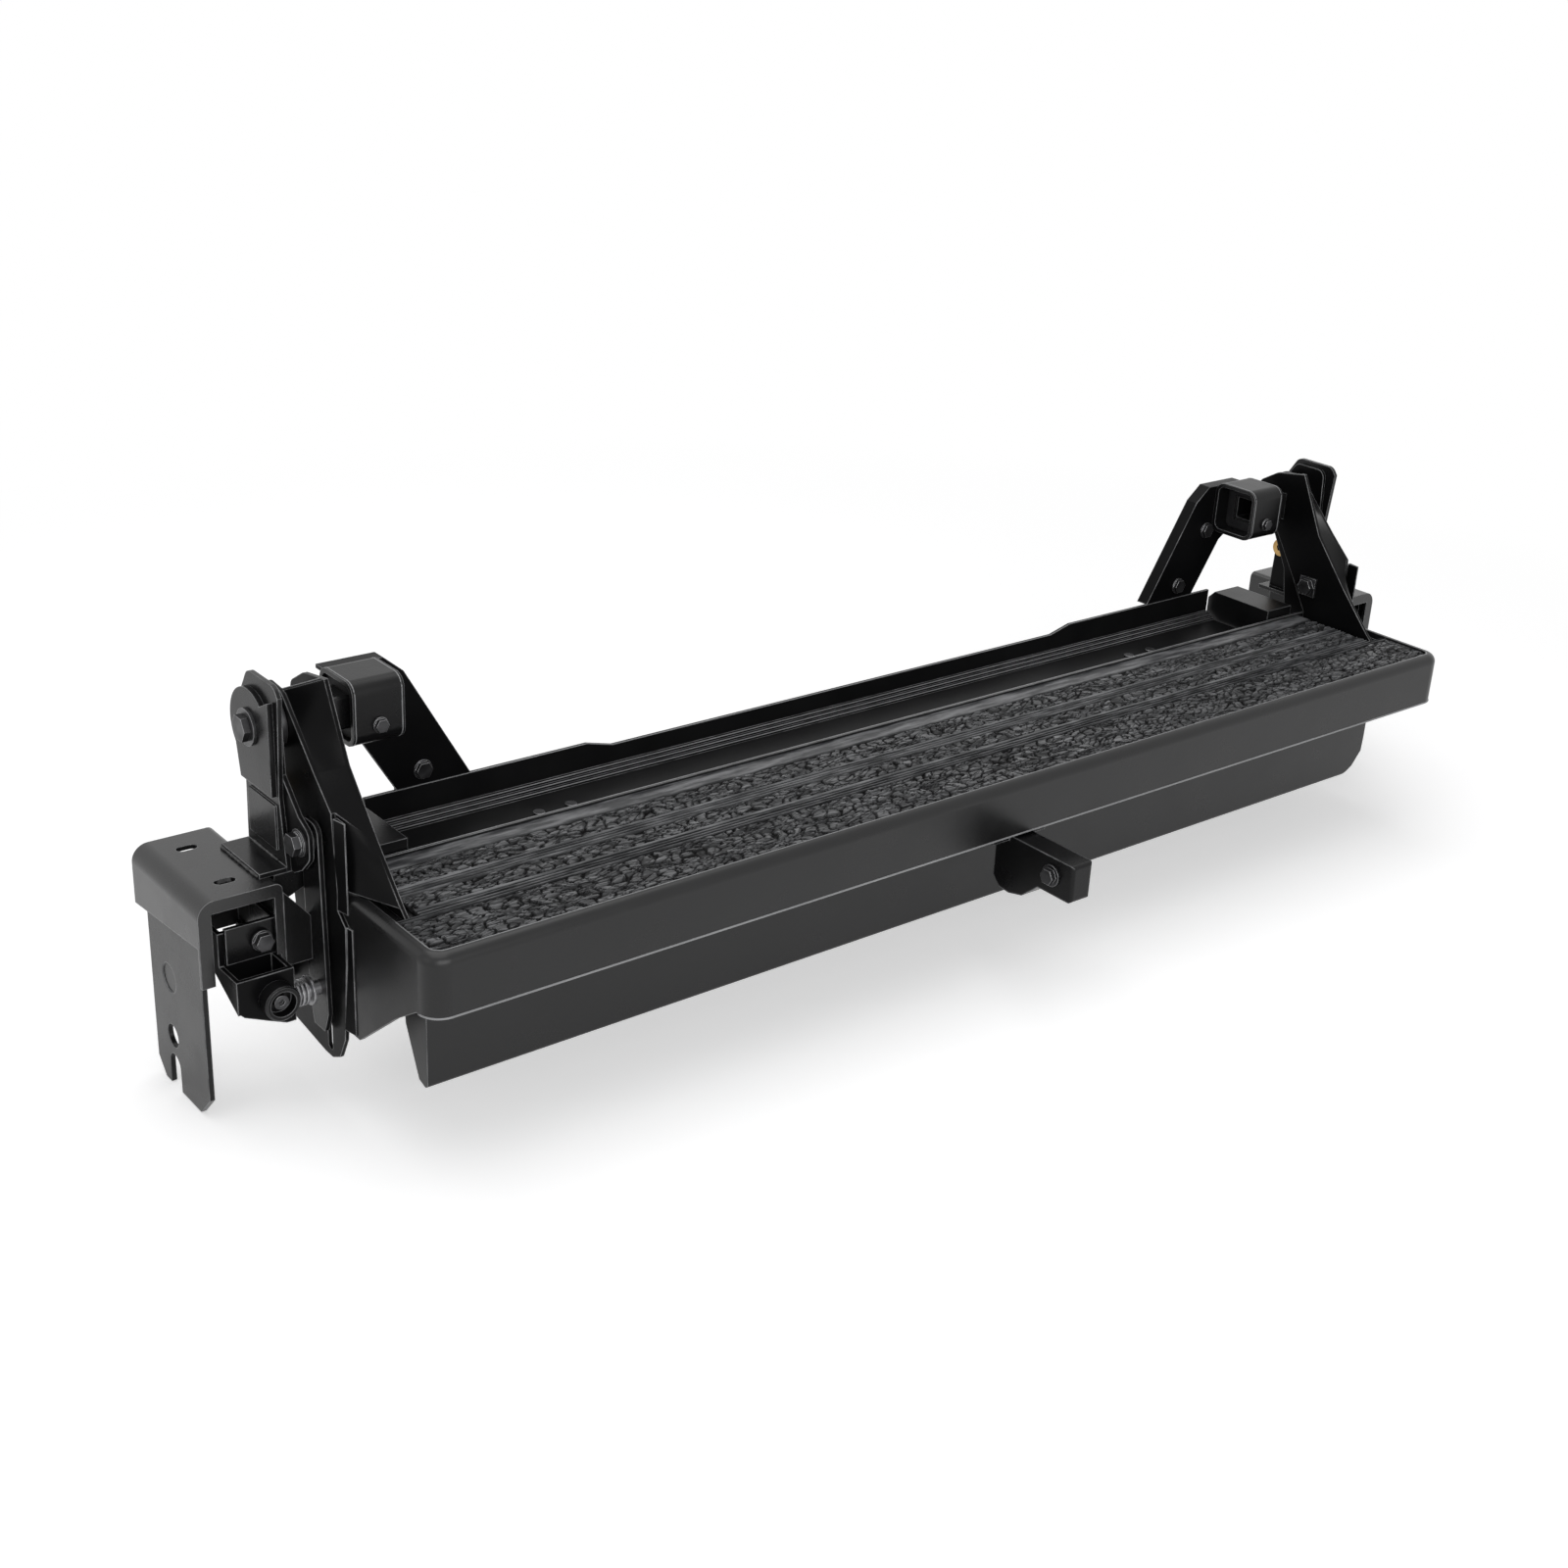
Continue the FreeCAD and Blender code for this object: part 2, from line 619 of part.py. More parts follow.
def release_crank():
    """The shaft behind the knob, with the crank pin that moves the latch pin."""
    c = Piece("release_crank")
    x, z = d.knob_x, d.knob_z
    floor = d.knob_front_y + d.knob_recess
    disc_front = d.bracket_front_y + d.plate + 0.5
    c.pad("y", floor, disc_front, Disc(x, z, d.shaft_r))
    c.pad("y", disc_front, disc_front + 3, Disc(x, z, d.crank_r))
    lean = d.crank_throw * 0.5
    drop = d.crank_throw * round(math.cos(math.radians(30)), 6)
    c.pad("y", disc_front + 3, d.latch_y + d.tail_half_y - 1, Disc(x + lean, z - drop, d.crank_pin_r))
    c.cut("y", floor - 1, floor + 6, Disc(x, z, 2.5))
    both_sides(c)


def knob_screw():
    c = Piece("knob_screw")
    x, z = d.knob_x, d.knob_z
    floor = d.knob_front_y + d.knob_recess
    c.pad("y", floor - 5.5, floor, Disc(x, z, 5.8))
    c.pad("y", floor, floor + 6, Disc(x, z, 2.5))
    c.cut("y", floor - 6, floor - 3, hexagon(x, z, sized(5)))
    both_sides(c)


def latch_pin():
    c = Piece("latch_pin")
    y, z, r = d.latch_y, d.latch_z, d.pin_r
    c.pad("x", d.pin_nose_x, d.tail_x, Disc(y, z, r))
    c.pad("x", d.tail_x, d.tail_end_x, box(
        y - d.tail_half_y, y + d.tail_half_y, z - d.tail_under, z + d.tail_over))
    c.pad("x", d.collar_x, d.collar_x + d.collar_thick, Disc(y, z, d.collar_r))
    x = d.knob_x + d.crank_throw * 0.5
    middle = d.knob_z - d.crank_throw * 0.95
    c.cut("y", y - d.tail_half_y - 1, y + d.tail_half_y + 1,
          Slot((x, middle - 0.7), (x, middle + 0.7), d.crank_pin_r + 0.35))
    c.bevel(1.2, (d.pin_nose_x, y + r, z))
    both_sides(c)


def latch_spring():
    """A compression spring of square wire between the collar and the bracket."""
    start = d.collar_x + d.collar_thick
    room = d.chan_in_x + d.plate - start
    helix = doc.addObject("Part::Helix", "latch_spring_path")
    helix.setExpression("Radius", d.coil_r.formula)
    helix.setExpression("Height", (room - d.coil_wire * 1.2).formula)
    helix.setExpression("Pitch", "(" + (room - d.coil_wire * 1.2).formula + ") / " + d.coil_turns.formula)
    helix.Placement.Rotation = FreeCAD.Rotation(FreeCAD.Vector(0, 1, 0), 90)
    helix.setExpression(".Placement.Base.x", (start + d.coil_wire * 0.6).formula)
    helix.setExpression(".Placement.Base.y", d.latch_y.formula)
    helix.setExpression(".Placement.Base.z", d.latch_z.formula)
    wire = doc.addObject("Part::Plane", "latch_spring_wire")
    wire.setExpression("Length", d.coil_wire.formula)
    wire.setExpression("Width", d.coil_wire.formula)
    wire.Placement.Rotation = FreeCAD.Rotation(FreeCAD.Vector(1, 0, 0), 90)
    half = d.coil_wire * 0.5
    wire.setExpression(".Placement.Base.x", (start + d.coil_wire * 0.6 - half).formula)
    wire.setExpression(".Placement.Base.y", d.latch_y.formula)
    wire.setExpression(".Placement.Base.z", (d.latch_z - d.coil_r - half).formula)
    spring = doc.addObject("Part::Sweep", "latch_spring")
    spring.Sections = [wire]
    spring.Spine = (helix, ["Edge1"])
    spring.Solid = True
    spring.Frenet = True
    keep(spring, "right_latch_spring")
    keep(mirrored(spring, "left_latch_spring"), "left_latch_spring")


# swinging step

def side_arm():
    """The folded arm at each end: an outer plate, an inner plate and the slanting web between them."""
    c = Piece("side_arm")
    y, z = d.hinge_y, d.hinge_z
    outer = d.half_length
    inner = d.web_in_x
    wall = d.arm_plate
    heel = d.tray_back_y - 4
    top_front = [(-13, 134), (-63, 84), (-88, 61), (-93, -1)]
    foot_front = [(-36, 146), (-66, 86), (-106, 40), (-145, -1)]
    c.pad("x", outer, outer + wall, Outline(
        *top_front, (-92, -18), (-104, -28), (-103, -61), (-96, -130), (-86, -150), (-74, -156),
        (-62, -156), (-3, -148), (-21, -40), (-8, 30), (26, 92), (28, 120), (10, 136)))
    c.pad("x", inner, inner + wall, Outline(
        (-1, 140), *foot_front, (-154, d.tray_floor), (heel, d.tray_floor), (heel, -1), (-42, 30),
        (-10, 78), (20, 84), (22, 126)))
    shift = wall + 1
    c.loft("x", inner + wall, strip(foot_front, shift), outer, strip(top_front, shift))
    for low, high, near, far in ((-18, 58, -91, -104), (-120, -28, -97, -110)):
        c.pad("z", low, high, Outline(
            (outer + wall, near), (outer, near), (outer, far), (outer + 1, far)))
    side = d.tube_half
    c.cut("x", inner - 1, inner + wall + 1, box(y - side, y + side, z - side, z + side))
    c.cut("x", outer - 1, outer + wall + 1, Disc(y, z, d.pivot_r))
    c.cut("x", outer - 1, outer + wall + 1, Disc(d.latch_y, d.latch_z, d.latch_hole_r))
    c.cut("x", outer - 1, outer + wall + 1, Slot((-71, -146), (-71, -128), 4))
    c.cut("x", inner - 1, inner + wall + 1, Disc(d.pad_bolt_y, d.pad_bolt_z, 5))
    mid = outer + 2
    c.round(12, (mid, -13, 134), (mid, 10, 136), (mid, 28, 120))
    c.round(9, (inner + 2, -1, 140), (inner + 2, 22, 126))
    both_sides(c)


def strip(edge, shift):
    near = [(sized(a), sized(b)) for a, b in edge]
    far = [(a + shift, b) for a, b in reversed(near)]
    return Outline(*near, *far)


def pad_bolts():
    """The bolt with a square pad low on each inner plate, with its nut inside the arm."""
    c = Piece("pad_bolts")
    y, z = d.pad_bolt_y, d.pad_bolt_z
    plate = d.web_in_x
    c.pad("x", plate - 3, plate, box(y - 10, y + 10, z - 10, z + 10))
    c.pad("x", plate - 9, plate - 3, hexagon(y, z, sized(15)))
    c.pad("x", plate, plate + d.arm_plate + 9, Disc(y, z, 5))
    c.pad("x", plate + d.arm_plate, plate + d.arm_plate + 8, hexagon(y, z, sized(15)))
    paired(c)


def pivot_tube():
    """The short square tube at each end, from the box clamp through the inner plate to the outer one."""
    c = Piece("pivot_tube")
    y, z, r = d.hinge_y, d.hinge_z, d.tube_half
    hollow = r - d.tube_wall
    start, end = d.box_in_x + d.box_hollow + 2, d.half_length
    mid = start + 10
    c.pad("x", start, end, box(y - r, y + r, z - r, z + r))
    c.round(2.5, *[(mid, y + a * r, z + b * r) for a in (-1, 1) for b in (-1, 1)])
    c.cut("x", start - 1, end + 1, box(y - hollow, y + hollow, z - hollow, z + hollow))
    both_sides(c)


def tube_plugs():
    c = Piece("tube_plugs")
    y, z = d.hinge_y, d.hinge_z
    hollow = d.tube_half - d.tube_wall
    end = d.half_length
    c.pad("x", end - d.plug_long, end, box(y - hollow, y + hollow, z - hollow, z + hollow),
          Disc(y, z, d.pivot_r))
    paired(c)


def pivot_bolts():
    """The shoulder bolt at each end: fixed in the tube's plug, turning in the upright's plates."""
    c = Piece("pivot_bolts")
    y, z = d.hinge_y, d.hinge_z
    head = d.cap_x + d.cap_thick + 2.8
    c.pad("x", d.half_length - d.plug_long + 4, head, Disc(y, z, d.pivot_r))
    c.pad("x", head, head + 5.5, hexagon(y, z, d.pivot_head))
    paired(c)


def box_clamp():
    c = Piece("box_clamp")
    y, z, r = d.hinge_y, d.hinge_z, d.box_half
    hollow = r - d.plate
    c.pad("x", d.box_in_x, d.box_out_x, box(y - r, y + r, z - r, z + r))
    mid = d.box_in_x + 10
    corners = [(mid, y - r, z - r), (mid, y - r, z + r), (mid, y + r, z - r), (mid, y + r, z + r)]
    c.round(d.box_round, *corners)
    c.cut("x", d.box_in_x - 1, d.box_out_x + 1, box(y - hollow, y + hollow, z - hollow, z + hollow))
    corners = [(mid, y + a * hollow, z + b * hollow) for a in (-1, 1) for b in (-1, 1)]
    c.round(d.box_round - d.plate, *corners)
    both_sides(c)


def clamp_liner():
    c = Piece("clamp_liner")
    y, z, r = d.hinge_y, d.hinge_z, d.box_half - d.plate
    side = d.tube_half
    start, end = d.box_in_x + d.box_hollow, d.box_out_x - 4
    c.pad("x", start, end, box(y - r, y + r, z - r, z + r))
    mid = start + 10
    corners = [(mid, y + a * r, z + b * r) for a in (-1, 1) for b in (-1, 1)]
    c.round(d.box_round - d.plate, *corners)
    c.cut("x", start - 1, end + 1, box(y - side, y + side, z - side, z + side))
    both_sides(c)


def clamp_bolts():
    c = Piece("clamp_bolts")
    face = d.hinge_y - d.box_half
    x, z = d.box_in_x + 22, d.hinge_z - 10
    c.pad("y", face - 5, face - 1.5, hexagon(x, z, sized(10)))
    c.pad("y", face - 1.5, face, Disc(x, z, 6.5))
    paired(c)


def rear_arm():
    c = Piece("rear_arm")
    front = d.rail_face_y
    back = front + d.sheet
    end, z = d.half_length, d.hinge_z
    foot, tip = end - 183, d.box_out_x - 4
    rim = d.sheet + 0.4
    c.pad("y", front, back, Outline(
        (foot, d.rail_end_top), (foot + 70, d.rail_end_top), (end - 78, z - 40), (tip, z - 22),
        (tip, z + 22), (end - 104, z + 22), (end - 122, z + 7)))
    c.pad("y", back - 0.5, back + 11, Outline(
        (foot, d.rail_end_top), (foot + rim, d.rail_end_top), (end - 119, z + 4.6),
        (end - 102.5, z + 22 - rim), (tip, z + 22 - rim), (tip, z + 22), (end - 104, z + 22),
        (end - 122, z + 7)))
    c.cut("y", front - 1, back + 1, *[Disc(x, z, 4) for x, z in ARM_BOLT_SPOTS])
    both_sides(c)


def arm_bolts():
    """Two bolts in each rear arm, with nuts behind the rail's tab."""
    c = Piece("arm_bolts")
    face = d.rail_face_y
    back = face + d.sheet + d.plate
    for x, z in ARM_BOLT_SPOTS:
        c.pad("y", face - 5, face - 1.5, hexagon(x, z, sized(13)))
        c.pad("y", face - 1.5, face, Disc(x, z, 8.5))
        c.pad("y", face, back + 7, Disc(x, z, 4))
        c.pad("y", back, back + 6, hexagon(x, z, sized(13)))
    paired(c)


def rear_rail():
    """The deck plate folded up at the back into the grooved rail, with a tab behind each arm."""
    c = Piece("rear_rail")
    step = d.rail_step
    face = d.rail_face_y
    y, z = face, d.rail_low
    top = [(face + d.sheet, d.rail_top), (face, d.rail_top), (face, z)]
    under = [(face + d.sheet, z - d.sheet)]
    for i in range(3):
        y = y - step
        top.append((y, z))
        under.append((y + d.sheet, z - d.sheet))
        z = z - d.rail_drop
        top.append((y, z))
        under.append((y + d.sheet, z - d.sheet))
    riser = d.tray_back_y + d.trough_gap
    top += [(riser, z), (riser, d.deck_top), (d.deck_front_y, d.deck_top)]
    under += [(riser + d.sheet, z - d.sheet), (riser + d.sheet, d.deck_top - d.sheet)]
    under.append((d.deck_front_y, d.deck_top - d.sheet))
    end = d.deck_half_x
    c.pad("x", -end, end, Outline(*top, *reversed(under)))
    clear = end - d.rail_half_x
    for low, high in ((-end - 1, -end + clear), (end - clear, end + 1)):
        c.cut("x", low, high, box(riser - 1, face + d.sheet + 1, d.deck_top, d.rail_top + 1))
    a, b, e = d.rail_slope_x, d.rail_full_x, d.rail_half_x
    c.pad("z", d.deck_top - d.sheet, d.deck_top, box(e, end, riser, d.cap_foot_y),
          box(-end, -e, riser, d.cap_foot_y))
    low, high = d.rail_top, d.rail_end_top
    c.pad("y", face, face + d.sheet, Outline((a, low), (e, low), (e, high), (b, high)),
          Outline((-a, low), (-b, high), (-e, high), (-e, low)))
    back = face + d.sheet
    edge, height = d.half_length, d.hinge_z
    right = [
        (edge - 170, -15), (edge - 114, -15), (edge - 114, 12), (edge - 88, height - 40),
        (edge - 92, height - 14), (edge - 112, height - 14), (edge - 164, 14)]
    left = [(-x, high) for x, high in reversed(right)]
    c.pad("y", back, back + d.plate, Outline(*right), Outline(*left))
    for side in (-1, 1):
        c.cut("y", back - 1, back + d.plate + 1, *[Disc(x * side, high, 4) for x, high in ARM_BOLT_SPOTS])
        for x, y in FLOOR_SCREW_SPOTS:
            c.cut("z", z - d.sheet - 1, z + 1, Disc(x * side, y, d.screw_r))
        lug_screw = Disc(d.lug_screw_x * side, d.lug_screw_y, d.screw_r)
        c.cut("z", d.deck_top - d.sheet - 1, d.deck_top + 1, lug_screw)
    keep(c.body, "rear_rail")


def rail_end_cap():
    """The short beam at each end that closes the rail, standing on the deck plate."""
    c = Piece("rail_end_cap")
    inside = d.rail_half_x + 5
    outside = d.deck_half_x
    front, back = d.tray_back_y + 2, d.rail_face_y + d.sheet
    top = d.rail_end_top - 2
    c.pad("x", inside, outside, Outline(
        (front, d.deck_top), (d.cap_foot_y, d.deck_top), (-2, -30), (back, -30), (back, top - 8),
        (back - 8, top), (front, top)))
    c.cut("x", inside + d.sheet, outside + 1, Outline(
        (front + d.sheet, d.deck_top - 1), (d.cap_foot_y - 4, d.deck_top - 1), (-5, -30 + d.sheet),
        (back - d.sheet, -30 + d.sheet), (back - d.sheet, top - 9), (back - 9, top - d.sheet),
        (front + d.sheet, top - d.sheet)))
    both_sides(c)


def floor_screws():
    c = Piece("floor_screws")
    z = d.rail_low - 3 * d.rail_drop
    for x, y in FLOOR_SCREW_SPOTS:
        c.pad("z", z, z + 2.6, Disc(x, y, 5))
        c.pad("z", z - d.sheet - 5, z, Disc(x, y, d.screw_r))
        c.pad("z", z - d.sheet - 4, z - d.sheet, hexagon(x, y, sized(8)))
    paired(c)


def tread_tray():
    c = Piece("tread_tray")
    x = d.half_length
    front, back = d.tray_front_y, d.tray_back_y
    low, rim, wall = d.tray_low, d.tray_rim, d.tray_wall
    c.pad("z", low, rim, box(-x, x, front, back))
    c.round(d.tray_corner, (x, front, -30), (-x, front, -30))
    c.round(d.tray_round, (0, front, rim))
    corner = d.tray_corner
    c.cut("z", low - 1, d.tray_floor - wall, Outline(
        (-x + wall, back - wall), (-x + wall, front + corner), (-x + corner, front + wall),
        (x - corner, front + wall), (x - wall, front + corner), (x - wall, back - wall)))
    end, edge, snip = x - d.mat_inset, d.mat_front_y, d.mat_corner * (2 - math.sqrt(2))
    c.cut("z", d.tray_floor, rim + 1, Outline(
        (-end, back - 3), (-end, edge + snip), (-end + snip, edge), (end - snip, edge),
        (end, edge + snip), (end, back - 3)))
    wedge = front + 21
    taper = Outline(
        (wedge, low), (wedge, low + 3), (wedge + 104, low + 3), (wedge + 104, low - 68),
        (wedge + 90, low - 68), (wedge + 32, low - 21))
    c.pad("x", x - wall, x, taper)
    c.pad("x", -x, -x + wall, taper)
    keep(c.body, "tread_tray")


def tread_mat():
    """The ribbed mat, notched round the feet of the two side arms."""
    c = Piece("tread_mat")
    x = d.half_length - d.mat_inset
    front, back = d.mat_front_y, d.tray_back_y - 3
    notch, step = d.notch_x, d.notch_y
    top = d.mat_top
    c.pad("z", d.tray_floor, top, Outline(
        (-x, front), (x, front), (x, step), (notch, step), (notch, back), (-notch, back), (-notch, step),
        (-x, step)))
    c.round(d.mat_corner, (x, front, top - 1), (-x, front, top - 1))
    c.pad("z", top, top + 1.2, box(-notch, notch, back - 15, back))
    for first in (-116, -161):
        for i in range(4):
            y = first + 8 * i
            end = notch if y + 2 > step.number else x
            c.pad("z", top, top + 1.2, box(-end, end, y - 1.6, y + 1.6))
    keep(c.body, "tread_mat")


def kick_pan():
    c = Piece("kick_pan")
    x = d.pan_half_x
    top = d.deck_top - d.sheet
    front, low = d.pan_front_y, d.pan_low
    c.pad("x", -x, x, Outline(
        (front, top), (front, low), (d.pan_toe_y, low + 4), (d.pan_back_y, d.pan_knee_z),
        (d.pan_back_y + 4, top)))
    c.round(4, (0, front, low))
    c.cut("y", front - 1, d.pan_back_y + 20, Outline(
        (x - 32, low - 1), (x + 1, low - 1), (x + 1, -96), (x - 1, -126), (x - 13, -141)))
    wall = d.sheet
    c.cut("x", -x + wall, x - wall, Outline(
        (front + wall, top + 1), (front + wall, low + 8), (d.pan_toe_y - 2.5, low + 8),
        (d.pan_back_y - 3.5, d.pan_knee_z), (d.pan_back_y + 0.8, top + 1)))
    keep(c.body, "kick_pan")


def pull_lug():
    """The cast lug at the middle of the front, hung from the deck plate."""
    c = Piece("pull_lug")
    half = d.lug_half
    top = d.deck_top - d.sheet
    front, low = d.lug_front_y, d.lug_low
    c.pad("x", -half, half, Outline(
        (front, top), (front, low), (-256, low), (-238, -108), (-222, -112), (-210, -111),
        (-201, -102), (-201, top)))
    c.pad("z", top - 5, top, box(-32, 32, d.deck_front_y, -176))
    c.cut("x", -half - 1, half + 1, Disc(d.lug_bolt_y, d.lug_bolt_z, 5))
    for side in (-1, 1):
        c.cut("z", top - 6, top + 1, Disc(d.lug_screw_x * side, d.lug_screw_y, d.screw_r))
    c.round(3, (half, front, -70), (-half, front, -70), (0, front, low), (0, front, top))
    keep(c.body, "pull_lug")


def lug_bolt():
    """The cross bolt of the lug, with its washer and nut."""
    c = Piece("lug_bolt")
    half = d.lug_half
    y, z = d.lug_bolt_y, d.lug_bolt_z
    c.pad("x", -half - 2, -half, Disc(y, z, 10))
    c.pad("x", -half - 7, -half - 2, hexagon(y, z, sized(13)))
    c.pad("x", -half, half + 9, Disc(y, z, 5))
    c.pad("x", half, half + 7, hexagon(y, z, sized(13)))
    keep(c.body, "lug_bolt")


def lug_screws():
    c = Piece("lug_screws")
    plate = d.deck_top - d.sheet - 5
    y = d.lug_screw_y
    for side in (-1, 1):
        x = d.lug_screw_x * side
        c.pad("z", plate - 3.5, plate, hexagon(x, y, sized(8)))
        c.pad("z", plate, d.deck_top, Disc(x, y, d.screw_r))
    keep(c.body, "lug_screws")


MAKERS = (
    mount_channel, slotted_tab, clip_angle, clip_bolts, pivot_shelf, pivot_upright, pivot_cap_plate,
    upright_inner_plate, support_strap, strap_bridge, strap_bolts, latch_bracket, stop_bumpers,
    brass_bushings, friction_washers, release_knob, release_crank, knob_screw, latch_pin, latch_spring,
    side_arm, pad_bolts, pivot_tube, tube_plugs, pivot_bolts, box_clamp, clamp_liner, clamp_bolts,
    rear_arm, arm_bolts, rear_rail, rail_end_cap, floor_screws, tread_tray, tread_mat, kick_pan,
    pull_lug, lug_bolt, lug_screws,
)


def write_parts():
    os.makedirs("parts", exist_ok=True)
    for thing in parts:
        shape = thing.Shape
        if shape.isNull() or not shape.isValid():
            raise RuntimeError("no valid shape: " + thing.Label)
        thing.Shape.exportStep(os.path.join("parts", thing.Label + ".step"))


for maker in MAKERS:
    maker()
doc.recompute()
bad = [o.Name for o in doc.Objects if "Invalid" in o.State or "Error" in o.State]
if bad:
    raise RuntimeError("not built: " + ", ".join(bad))
write_parts()
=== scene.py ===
import bpy
import bmesh
import json
import math
import numpy as np
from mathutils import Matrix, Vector


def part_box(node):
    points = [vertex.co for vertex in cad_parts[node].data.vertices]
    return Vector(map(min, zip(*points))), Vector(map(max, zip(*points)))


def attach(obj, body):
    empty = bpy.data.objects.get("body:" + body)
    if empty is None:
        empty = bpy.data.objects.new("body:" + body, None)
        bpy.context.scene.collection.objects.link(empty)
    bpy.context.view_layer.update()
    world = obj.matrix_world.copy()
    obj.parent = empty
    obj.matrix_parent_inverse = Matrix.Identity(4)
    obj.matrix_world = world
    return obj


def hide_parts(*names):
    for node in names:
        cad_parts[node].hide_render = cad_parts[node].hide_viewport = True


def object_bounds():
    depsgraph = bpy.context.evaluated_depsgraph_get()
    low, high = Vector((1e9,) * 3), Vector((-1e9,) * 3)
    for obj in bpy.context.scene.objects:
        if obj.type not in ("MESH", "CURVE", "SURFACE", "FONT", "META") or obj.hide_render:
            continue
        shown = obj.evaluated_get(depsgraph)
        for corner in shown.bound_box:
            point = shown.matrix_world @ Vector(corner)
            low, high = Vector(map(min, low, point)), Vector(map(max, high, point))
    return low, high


# Looks of the retractable bed step: satin black coated steel, a moulded black mat with a bark-like relief,
# dark bolts and a brass bushing, on a pale floor in soft light. Metres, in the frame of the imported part.
# The pieces made here are worked out in millimetres and divided by MM at the end.

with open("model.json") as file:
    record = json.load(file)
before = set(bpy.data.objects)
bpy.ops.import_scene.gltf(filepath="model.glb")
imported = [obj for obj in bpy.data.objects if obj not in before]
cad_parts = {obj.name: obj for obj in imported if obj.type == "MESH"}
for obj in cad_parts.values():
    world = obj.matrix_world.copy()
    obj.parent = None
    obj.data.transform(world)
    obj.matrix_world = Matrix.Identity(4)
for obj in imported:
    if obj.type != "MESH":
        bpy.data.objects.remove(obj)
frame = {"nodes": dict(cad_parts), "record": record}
cad_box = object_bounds()
nodes = frame["nodes"]

MM = 1000
# On the mat: back edges of the bands of ridges, notch round each arm's foot, depth of the rear strip.
RIDGE_BACKS = (-107.0, -145.0)
NOTCH_X, NOTCH_Y = 568.0, -156.0
REAR_STRIP = 19.0


def both(*names):
    """The names of the left and the right piece of each mirrored pair."""
    return [side + "_" + name for name in names for side in ("left", "right")]


# materials

class Network:
    """A node tree, with small helpers that add nodes and join them."""

    def __init__(self, tree):
        self.tree = tree

    def node(self, kind, **values):
        """Adds a node, with each value set on the node itself or else on its socket of that name."""
        made = self.tree.nodes.new(kind)
        for name, value in values.items():
            if hasattr(made, name):
                setattr(made, name, value)
            else:
                made.inputs[name].default_value = value
        return made

    def join(self, source, output, target, socket):
        self.tree.links.new(source.outputs[output], target.inputs[socket])

    def maths(self, operation, first, first_output, second, second_output):
        """A maths node on two outputs."""
        made = self.node("ShaderNodeMath", operation=operation)
        self.join(first, first_output, made, 0)
        self.join(second, second_output, made, 1)
        return made

    def spread(self, source, output, span=(0.0, 1.0), onto=(0.0, 1.0)):
        """Maps the values within a span onto another span."""
        made = self.node("ShaderNodeMapRange")
        for socket, value in zip(("From Min", "From Max", "To Min", "To Max"), (*span, *onto)):
            made.inputs[socket].default_value = value
        self.join(source, output, made, "Value")
        return made

    def seen(self):
        """One for the camera, for reflections and for what is seen through glass, and zero for light."""
        path = self.node("ShaderNodeLightPath")
        camera_or_gloss = self.maths("MAXIMUM", path, "Is Camera Ray", path, "Is Glossy Ray")
        return self.maths("MAXIMUM", camera_or_gloss, "Value", path, "Is Transmission Ray")


class Finish(Network):
    """A material with one principled shader. Colours are linear, sizes are in metres."""

    def __init__(self, name, gloss):
        self.material = bpy.data.materials.new(name)
        self.material.use_nodes = True
        super().__init__(self.material.node_tree)
        self.tree.nodes.clear()
        self.shader = self.node("ShaderNodeBsdfPrincipled")
        self.shader.inputs["Specular IOR Level"].default_value = gloss
        self.surface = self.node("ShaderNodeOutputMaterial")
        self.join(self.shader, "BSDF", self.surface, "Surface")
        self.place = self.node("ShaderNodeTexCoord")

    def stretched(self, scale):
        """The object's own coordinates, stretched along its axes."""
        mapping = self.node("ShaderNodeMapping")
        mapping.inputs["Scale"].default_value = scale
        self.join(self.place, "Object", mapping, "Vector")
        return mapping

    def texture(self, kind, mapping=None, **values):
        """A texture node on the object's own coordinates, or on stretched ones."""
        made = self.node(kind, **values)
        if mapping is None:
            self.join(self.place, "Object", made, "Vector")
        else:
            self.join(mapping, "Vector", made, "Vector")
        return made

    def noise(self, scale, detail=2.0, rough=0.5, mapping=None):
        return self.texture("ShaderNodeTexNoise", mapping, Scale=scale, Detail=detail, Roughness=rough)

    def blend(self, factor, output, first, second):
        """Mixes two colours, each a colour or a node that gives one."""
        made = self.node("ShaderNodeMix", data_type="RGBA")
        self.join(factor, output, made, 0)
        for socket, colour in ((6, first), (7, second)):
            if isinstance(colour, tuple):
                made.inputs[socket].default_value = (*colour, 1)
            else:
                self.join(colour, 2, made, socket)
        return made

    def clouds(self, noise, dark, light, span=(0.3, 0.7)):
        """Two colours, blended by a noise."""
        return self.blend(self.spread(noise, "Fac", span), "Result", dark, light)

    def bump(self, source, output, depth, strength, after=None):
        """A relief, laid over the normal of another node where one is given."""
        made = self.node("ShaderNodeBump", Strength=strength, Distance=depth)
        self.join(source, output, made, "Height")
        if after is not None:
            self.join(after, "Normal", made, "Normal")
        return made

    def soft_edges(self, radius):
        return self.node("ShaderNodeBevel", samples=8, Radius=radius)

    def edge_mask(self, soft, span):
        """One along the edges, where the rounded normal leaves the true one, and zero on the faces."""
        geometry = self.node("ShaderNodeNewGeometry")
        dot = self.node("ShaderNodeVectorMath", operation="DOT_PRODUCT")
        self.join(soft, "Normal", dot, 0)
        self.join(geometry, "Normal", dot, 1)
        return self.spread(dot, "Value", span, (1.0, 0.0))

    def finish(self, colour, normal, roughness):
        self.join(colour, 2, self.shader, "Base Color")
        self.join(normal, "Normal", self.shader, "Normal")
        self.join(roughness, "Result", self.shader, "Roughness")
        return self.material


